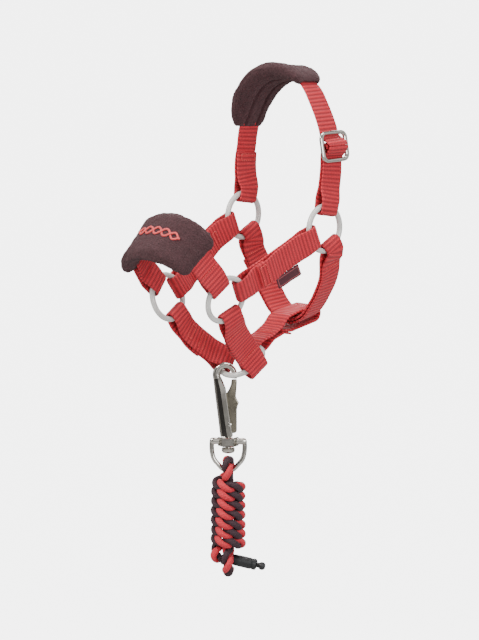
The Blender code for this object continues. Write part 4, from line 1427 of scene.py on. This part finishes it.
LIMB = (
    # height, left edge, right edge
    (-1.2, -4.35, -1.6),
    (-3.2, -4.2, -0.75),
    (-5.2, -3.95, 0.0),
    (-9.0, -3.5, 0.65),
    (-13.0, -3.0, 1.2),
    (-17.0, -2.5, 1.8),
    (-20.6, -2.1, 2.4),
    (FOOT, -1.8, 2.6),
)


def snap_limb():
    """The tapered limb: a rim, a long groove and a bright facet on each face, and a slot down its
    inner edge for the gate."""
    bm = bmesh.new()
    rows = []
    for height, left, right in LIMB:
        deep = 1.7 if height < -4 else 1.45
        slotted = height > FOOT
        slot = 0.85 if slotted else 0.02
        reach = right - left
        floor = left + (0.62 if slotted else 0.5 * reach)
        groove = min(0.36, 0.3 * reach) if height > FOOT else 0.1
        side = [
            (left + 0.05, 0.0, 0),
            (left + 0.1, -deep * 0.66, 0),
            (left + 0.36, -deep + 0.06, 0),
            (left + 0.19 * reach, -deep, 0),
            (left + 0.22 * reach, -deep + groove, 1),
            (left + 0.54 * reach, -deep + groove, 0),
            (left + 0.57 * reach, -deep + 0.02, 0),
            (right - 0.25, -deep + 0.1, 0),
            (right, -deep + 0.35, 0),
            (right, -slot, 0),
            (floor, -slot * 0.95, 0),
        ]
        outline = side + [(x, -y, dark) for x, y, dark in reversed(side[1:])]
        rows.append([(bm.verts.new(Vector((x, y, height)) * MM), dark) for x, y, dark in outline])
    count = len(rows[0])
    for upper, lower in zip(rows, rows[1:]):
        for k in range(count):
            m = (k + 1) % count
            face = bm.faces.new((upper[k][0], lower[k][0], lower[m][0], upper[m][0]))
            # The groove's floor faces take the near-black nickel as painted shade and dark
            # reflection.
            dark = k in (4, count - 5)
            face.material_index = 1 if dark else 0
    bm.faces.new([vert for vert, _ in rows[0]])
    bm.faces.new([vert for vert, _ in reversed(rows[-1])])
    bmesh.ops.recalc_face_normals(bm, faces=bm.faces)
    return mesh_from(bm, "snap_limb", 32)


def snap_hook():
    """The round hook over the ring, from the limb's shoulder to its blunt tip."""
    points = [Vector((-3.05, 0.0, -1.5)), Vector((-3.1, 0.0, -0.8))]
    for k in range(17):
        angle = math.pi * (1 - k / 16)
        points.append(Vector((3.2 * math.cos(angle), 0.0, 3.2 * math.sin(angle))))
    points += [Vector((3.2, 0.0, -0.8)), Vector((3.15, 0.0, -1.4))]
    bm = bmesh.new()
    stations = []
    total = len(points) - 1
    for i, (point, tangent, normal) in enumerate(frames_along(points, Vector((1.0, 0.0, 0.0)))):
        share = ease(i / total * 1.5)
        wide = 1.45 - 0.42 * share
        deep = 1.5 - 0.42 * share
        stations.append((point, normal, tangent.cross(normal), wide, deep))
    section = []
    for a, b in circle(16, math.pi / 16):
        grow = 1.0 / max(abs(a), abs(b)) ** 0.35
        section.append((a * grow * 0.96, b * grow * 0.96))
    sweep(bm, stations, section)
    return mesh_from(bm, "snap_hook", 60)


def turned_form(name, profile, steps=28):
    """A profile at +X, from top to bottom, turned about its own axis."""
    bm = bmesh.new()
    verts = [bm.verts.new(Vector((radius, 0.0, height)) * MM) for radius, height in profile]
    for a, b in zip(verts, verts[1:]):
        bm.edges.new((a, b))
    cage = holder(name, mesh_from(bm, name, 180))
    screw = cage.modifiers.new("Turned", "SCREW")
    screw.steps = steps
    screw.render_steps = steps
    screw.use_merge_vertices = True
    screw.merge_threshold = 1e-6
    mesh = applied(cage)
    mesh.set_sharp_from_angle(angle=math.radians(38))
    return mesh


def plate_form(name, outline, thickness, edge):
    """A flat plate across and up, with rounded edges."""
    bm = bmesh.new()
    bm.faces.new([bm.verts.new(Vector((x, 0.0, z)) * MM) for x, z in outline])
    bmesh.ops.recalc_face_normals(bm, faces=bm.faces)
    cage = holder(name, mesh_from(bm, name, 180))
    thick = cage.modifiers.new("Thickness", "SOLIDIFY")
    thick.thickness = thickness * MM
    thick.offset = 0.0
    rounding = cage.modifiers.new("Edges", "BEVEL")
    rounding.width = edge * MM
    rounding.segments = 3
    rounding.angle_limit = math.radians(25)
    mesh = applied(cage)
    mesh.shade_smooth()
    mesh.set_sharp_from_angle(angle=math.radians(40))
    return mesh


def make_snap():
    metals = [nickel, nickel_shadow]
    finish_in_snap_frame("snap_limb", snap_limb(), "snap", metals, ("snap_body",))
    finish_in_snap_frame("snap_hook", snap_hook(), "snap", nickel, ())
    stem_low = FOOT - GAP - BAR_HEIGHT - GAP
    stem = [(0.0, FOOT + 0.4), (1.15, FOOT + 0.4), (1.0, FOOT - 0.2), (1.0, stem_low)]
    stem += [(2.1, stem_low), (2.35, stem_low - 0.3), (2.35, stem_low - 1.3), (2.0, stem_low - 1.8)]
    stem += [(1.2, stem_low - 2.05), (0.0, stem_low - 2.1)]
    at_axis = Matrix.Translation((SWIVEL_AT, 0.0, 0.0))
    mesh = turned_form("snap_stem", stem)
    finish_in_snap_frame("snap_stem", mesh, "snap", nickel, (), at_axis)
    gate = [
        (2.2, -1.8),
        (4.05, -1.8),
        (4.1, -3.2),
        (3.95, -5.5),
        (3.75, -8.0),
        (4.15, -9.2),
        (4.85, -10.3),
        (4.4, -11.4),
        (4.1, -12.8),
        (4.1, -20.6),
        (3.4, -21.2),
        (1.6, -21.2),
        (0.35, -18.6),
        (0.1, -12.0),
        (0.15, -7.2),
        (1.3, -5.4),
        (2.0, -3.6),
    ]
    mesh = plate_form("snap_gate", gate, 1.5, 0.32)
    slot = "snap_trigger"
    finish_in_snap_frame("snap_gate", mesh, "trigger", gate_nickel, (slot,))
    rivet = [(0.0, 1.85), (0.35, 1.82), (0.62, 1.66), (0.66, 1.45), (0.5, 1.4), (0.5, -1.4)]
    rivet += [(0.66, -1.45), (0.62, -1.66), (0.35, -1.82), (0.0, -1.85)]
    lay = Matrix.Translation((PIVOT[0], 0.0, PIVOT[1])) @ Matrix.Rotation(math.pi / 2, 4, "X")
    mesh = turned_form("gate_rivet", rivet)
    slot = "trigger_pin"
    finish_in_snap_frame("gate_rivet", mesh, "snap", bright_nickel, (slot,), lay)


def make_swivel():
    """The six-sided block and bar that turn on the stem, and the bow below."""
    top = FOOT - GAP
    block = [(1.35, 0.0), (3.5, 0.0), (3.75, -0.25), (3.75, -3.0), (3.5, -3.25), (1.35, -3.25)]
    block.append(block[0])
    at_axis = Matrix.Translation((SWIVEL_AT, 0.0, top))
    turn = Matrix.Rotation(math.radians(5), 4, "Z")
    mesh = turned_form("swivel_block", block, steps=6)
    mesh.set_sharp_from_angle(angle=math.radians(20))
    slot = "swivel_eye"
    place = at_axis @ turn
    finish_in_snap_frame("swivel_block", mesh, "swivel", bright_nickel, (slot,), place)
    bm = bmesh.new()
    squared = []
    for a, b in circle(12):
        grow = 1.0 / max(abs(a), abs(b)) ** 0.4
        squared.append((a * grow, b * grow))
    up = Vector((0.0, 0.0, 1.0))
    for side in (-1, 1):
        stations = []
        for along, wide, high in (
            (1.7, 1.3, 1.5),
            (2.6, 1.15, 1.25),
            (4.2, 1.1, 1.2),
            (5.2, 1.15, 1.25),
            (5.9, 1.05, 1.15),
            (6.45, 0.75, 0.8),
        ):
            point = Vector((side * along, 0.0, -BAR_HEIGHT / 2 + 0.25))
            stations.append((point, BACK * side, up, wide, high))
        sweep(bm, stations, squared)
    guides = [(-BAR_HALF, -1.2), (-BAR_HALF - 0.1, -3.6), (-BAR_HALF + 0.1, -5.9), (-5.1, -8.0)]
    guides += [(-3.5, -10.0), (-1.8, -11.7), (0.0, -12.2)]
    guides += [(-x, z) for x, z in reversed(guides[:-1])]
    points = smooth_points([Vector((x, 0.0, z)) for x, z in guides], 6)
    sweep(bm, wire_stations(points, BOW_WIRE / 2, SIDE), circle(14))
    mesh = mesh_from(bm, "swivel_bow", 55)
    finish_in_snap_frame("swivel_bow", mesh, "swivel", bright_nickel, (slot,), at_axis)


def make_cap():
    """The moulded end: a ridged sleeve, a neck and a knob."""
    knob = [(0.0, 3.2), (0.75, 3.12), (1.25, 2.7), (1.5, 2.0), (1.35, 1.3), (0.95, 0.8)]
    rim = [(0.9, 0.15), (1.5, 0.0), (1.95, -0.3), (2.05, -0.8), (2.05, -1.5), (1.86, -1.65)]
    rim += [(1.86, -1.95), (2.05, -2.1)]
    profile = [(radius, CAP_LENGTH + height) for radius, height in knob + rim]
    profile += [(2.06, 3.0), (2.0, 0.6), (1.85, 0.1), (1.5, 0.0), (0.0, 0.0)]
    lay = Vector((1.0, 0.0, CAP_SLOPE)).to_track_quat("Z", "Y").to_matrix().to_4x4()
    place = Matrix.Translation((CAP_START, 0.0, TAIL_HEIGHT)) @ lay
    mesh = turned_form("rope_cap", profile)
    slot = "rope_end_cap"
    return finish_in_snap_frame("rope_cap", mesh, "lead", rubber, (slot,), place)


def make_tab():
    """The woven tab under the near cheek strap, a little curled."""
    bm = bmesh.new()
    uv = bm.loops.layers.uv.new("UVMap")
    rows, columns = 12, 6
    level = WEB_WIDTH / 2 + GAP + LABEL_DROP / 2
    grid = []
    for k in range(rows + 1):
        row = []
        for j in range(columns + 1):
            along, down = LABEL_LENGTH * (k / rows - 0.5), LABEL_DROP * (j / columns - 0.5)
            curl = 0.25 * (j / columns) ** 2 + 0.12 * math.sin(k * 0.9) * j / columns
            place = NEAR_CHEEK.point(15.6 + along, level + down, curl)
            row.append((bm.verts.new(place * MM), (along, down)))
        grid.append(row)
    for k in range(rows):
        for j in range(columns):
            corners = (grid[k][j], grid[k][j + 1], grid[k + 1][j + 1], grid[k + 1][j])
            face = bm.faces.new([vert for vert, _ in corners])
            for loop, (_, place) in zip(face.loops, corners):
                loop[uv].uv = place
    cage = holder("woven_tab", mesh_from(bm, "woven_tab", 180))
    thick = cage.modifiers.new("Thickness", "SOLIDIFY")
    thick.thickness = 0.45 * MM
    thick.offset = 0.0
    subdivide(cage, 1)
    add_piece("woven_tab", applied(cage), "label", tab_cloth, ("woven_label",))


# Sewing


def stitch(bm, start, end, out, radius=0.17):
    """One stitch: a short, thick thread that dips into the webbing at both ends."""
    reach = end - start
    stations = []
    side = reach.cross(out).normalized()
    arch = ((0.0, -0.12, 0.5), (0.2, 0.1, 1.0), (0.8, 0.1, 1.0), (1.0, -0.12, 0.5))
    for share, lift, size in arch:
        place = start + reach * share + out * lift
        stations.append((place, side, out, radius * size, radius * size))
    sweep(bm, stations, circle(6))


def stitch_row(bm, course, side, level, start, end, pitch=0.95):
    """Stitches from one (u, v) to another on a strap's face."""
    span = math.hypot(end[0] - start[0], end[1] - start[1])
    count = max(1, round(span / pitch))
    face = level + WEB_THICK / 2 + 0.12
    for k in range(count):
        ends = []
        for share in ((k + 0.12) / count, (k + 0.88) / count):
            u = start[0] + (end[0] - start[0]) * share
            v = start[1] + (end[1] - start[1]) * share
            ends.append(course.point(u, v, side * face))
        out = course.at((start[0] + end[0]) / 2)[2] * side
        stitch(bm, ends[0], ends[1], out)


def stitch_box(bm, course, side, level, low, high, half=3.9):
    stitch_row(bm, course, side, level, (low, -half), (low, half))
    stitch_row(bm, course, side, level, (high, -half), (high, half))
    stitch_row(bm, course, side, level, (low, -half), (high, -half))
    stitch_row(bm, course, side, level, (low, half), (high, half))


def make_sewing():
    bm = bmesh.new()
    raised = LAYER_OFFSET + WEB_THICK + 0.15
    side = outward(NEAR_CHEEK, 18.0)
    edge = NEAR_CHEEK.length - 8.5
    stitch_box(bm, NEAR_CHEEK, side, raised, edge - 3.6, edge - 0.9)
    side = -outward(FAR_CHEEK, 18.0)
    edge = FAR_CHEEK.length - 10.0
    stitch_box(bm, FAR_CHEEK, side, raised, edge - 2.6, edge - 0.9, 2.6)
    stitch_box(bm, FAR_CHEEK, side, LAYER_OFFSET, 9.6, 11.4, 2.6)
    side = outward(NEAR_CHIN, 12.0)
    length = NEAR_CHIN.length
    stitch_row(bm, NEAR_CHIN, side, LAYER_OFFSET, (7.6, -4.0), (7.6, 4.0), 1.1)
    stitch_row(bm, NEAR_CHIN, side, LAYER_OFFSET, (length - 7.4, -4.2), (length - 7.4, 4.2), 1.1)
    side = outward(FAR_CHIN, 12.0)
    length = FAR_CHIN.length
    edge = length - 10.5
    stitch_box(bm, FAR_CHIN, -side, LAYER_OFFSET, 8.4, 10.4, 2.8)
    stitch_box(bm, FAR_CHIN, side, raised, edge - 3.2, edge - 1.0, 3.4)
    stitch_row(bm, FAR_CHIN, -side, LAYER_OFFSET, (edge - 1.0, -3.4), (edge - 1.0, 3.4))
    stitch_row(bm, FAR_CHIN, -side, LAYER_OFFSET, (edge - 3.2, -3.4), (edge - 3.2, 3.4))
    for course, u in (
        (THROAT, 8.2),
        (THROAT, THROAT.length - 8.2),
        (NOSEBAND, 8.6),
        (NOSEBAND, NOSEBAND.length - 8.6),
        (JOWL, 8.4),
    ):
        for face in (1, -1):
            stitch_row(bm, course, face, LAYER_OFFSET, (u, -4.0), (u, 4.0))
    edge = CROWN.length - 13.4
    for face in (1, -1):
        stitch_box(bm, CROWN, face, LAYER_OFFSET, edge - 2.2, edge, 3.4)
    mesh = mesh_from(bm, "sewing_thread", 180)
    add_piece("sewing_thread", mesh, "headcollar", coral_thread)


# Assembly

camera_and_stage()
rope, rope_line = lead_rope()
cap = make_cap()
make_straps()
make_crown_strap()
make_pads()
make_rings()
make_slider()
make_snap()
make_swivel()
make_tab()
make_sewing()
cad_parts["trigger_spring"].material_slots[0].material = bright_nickel
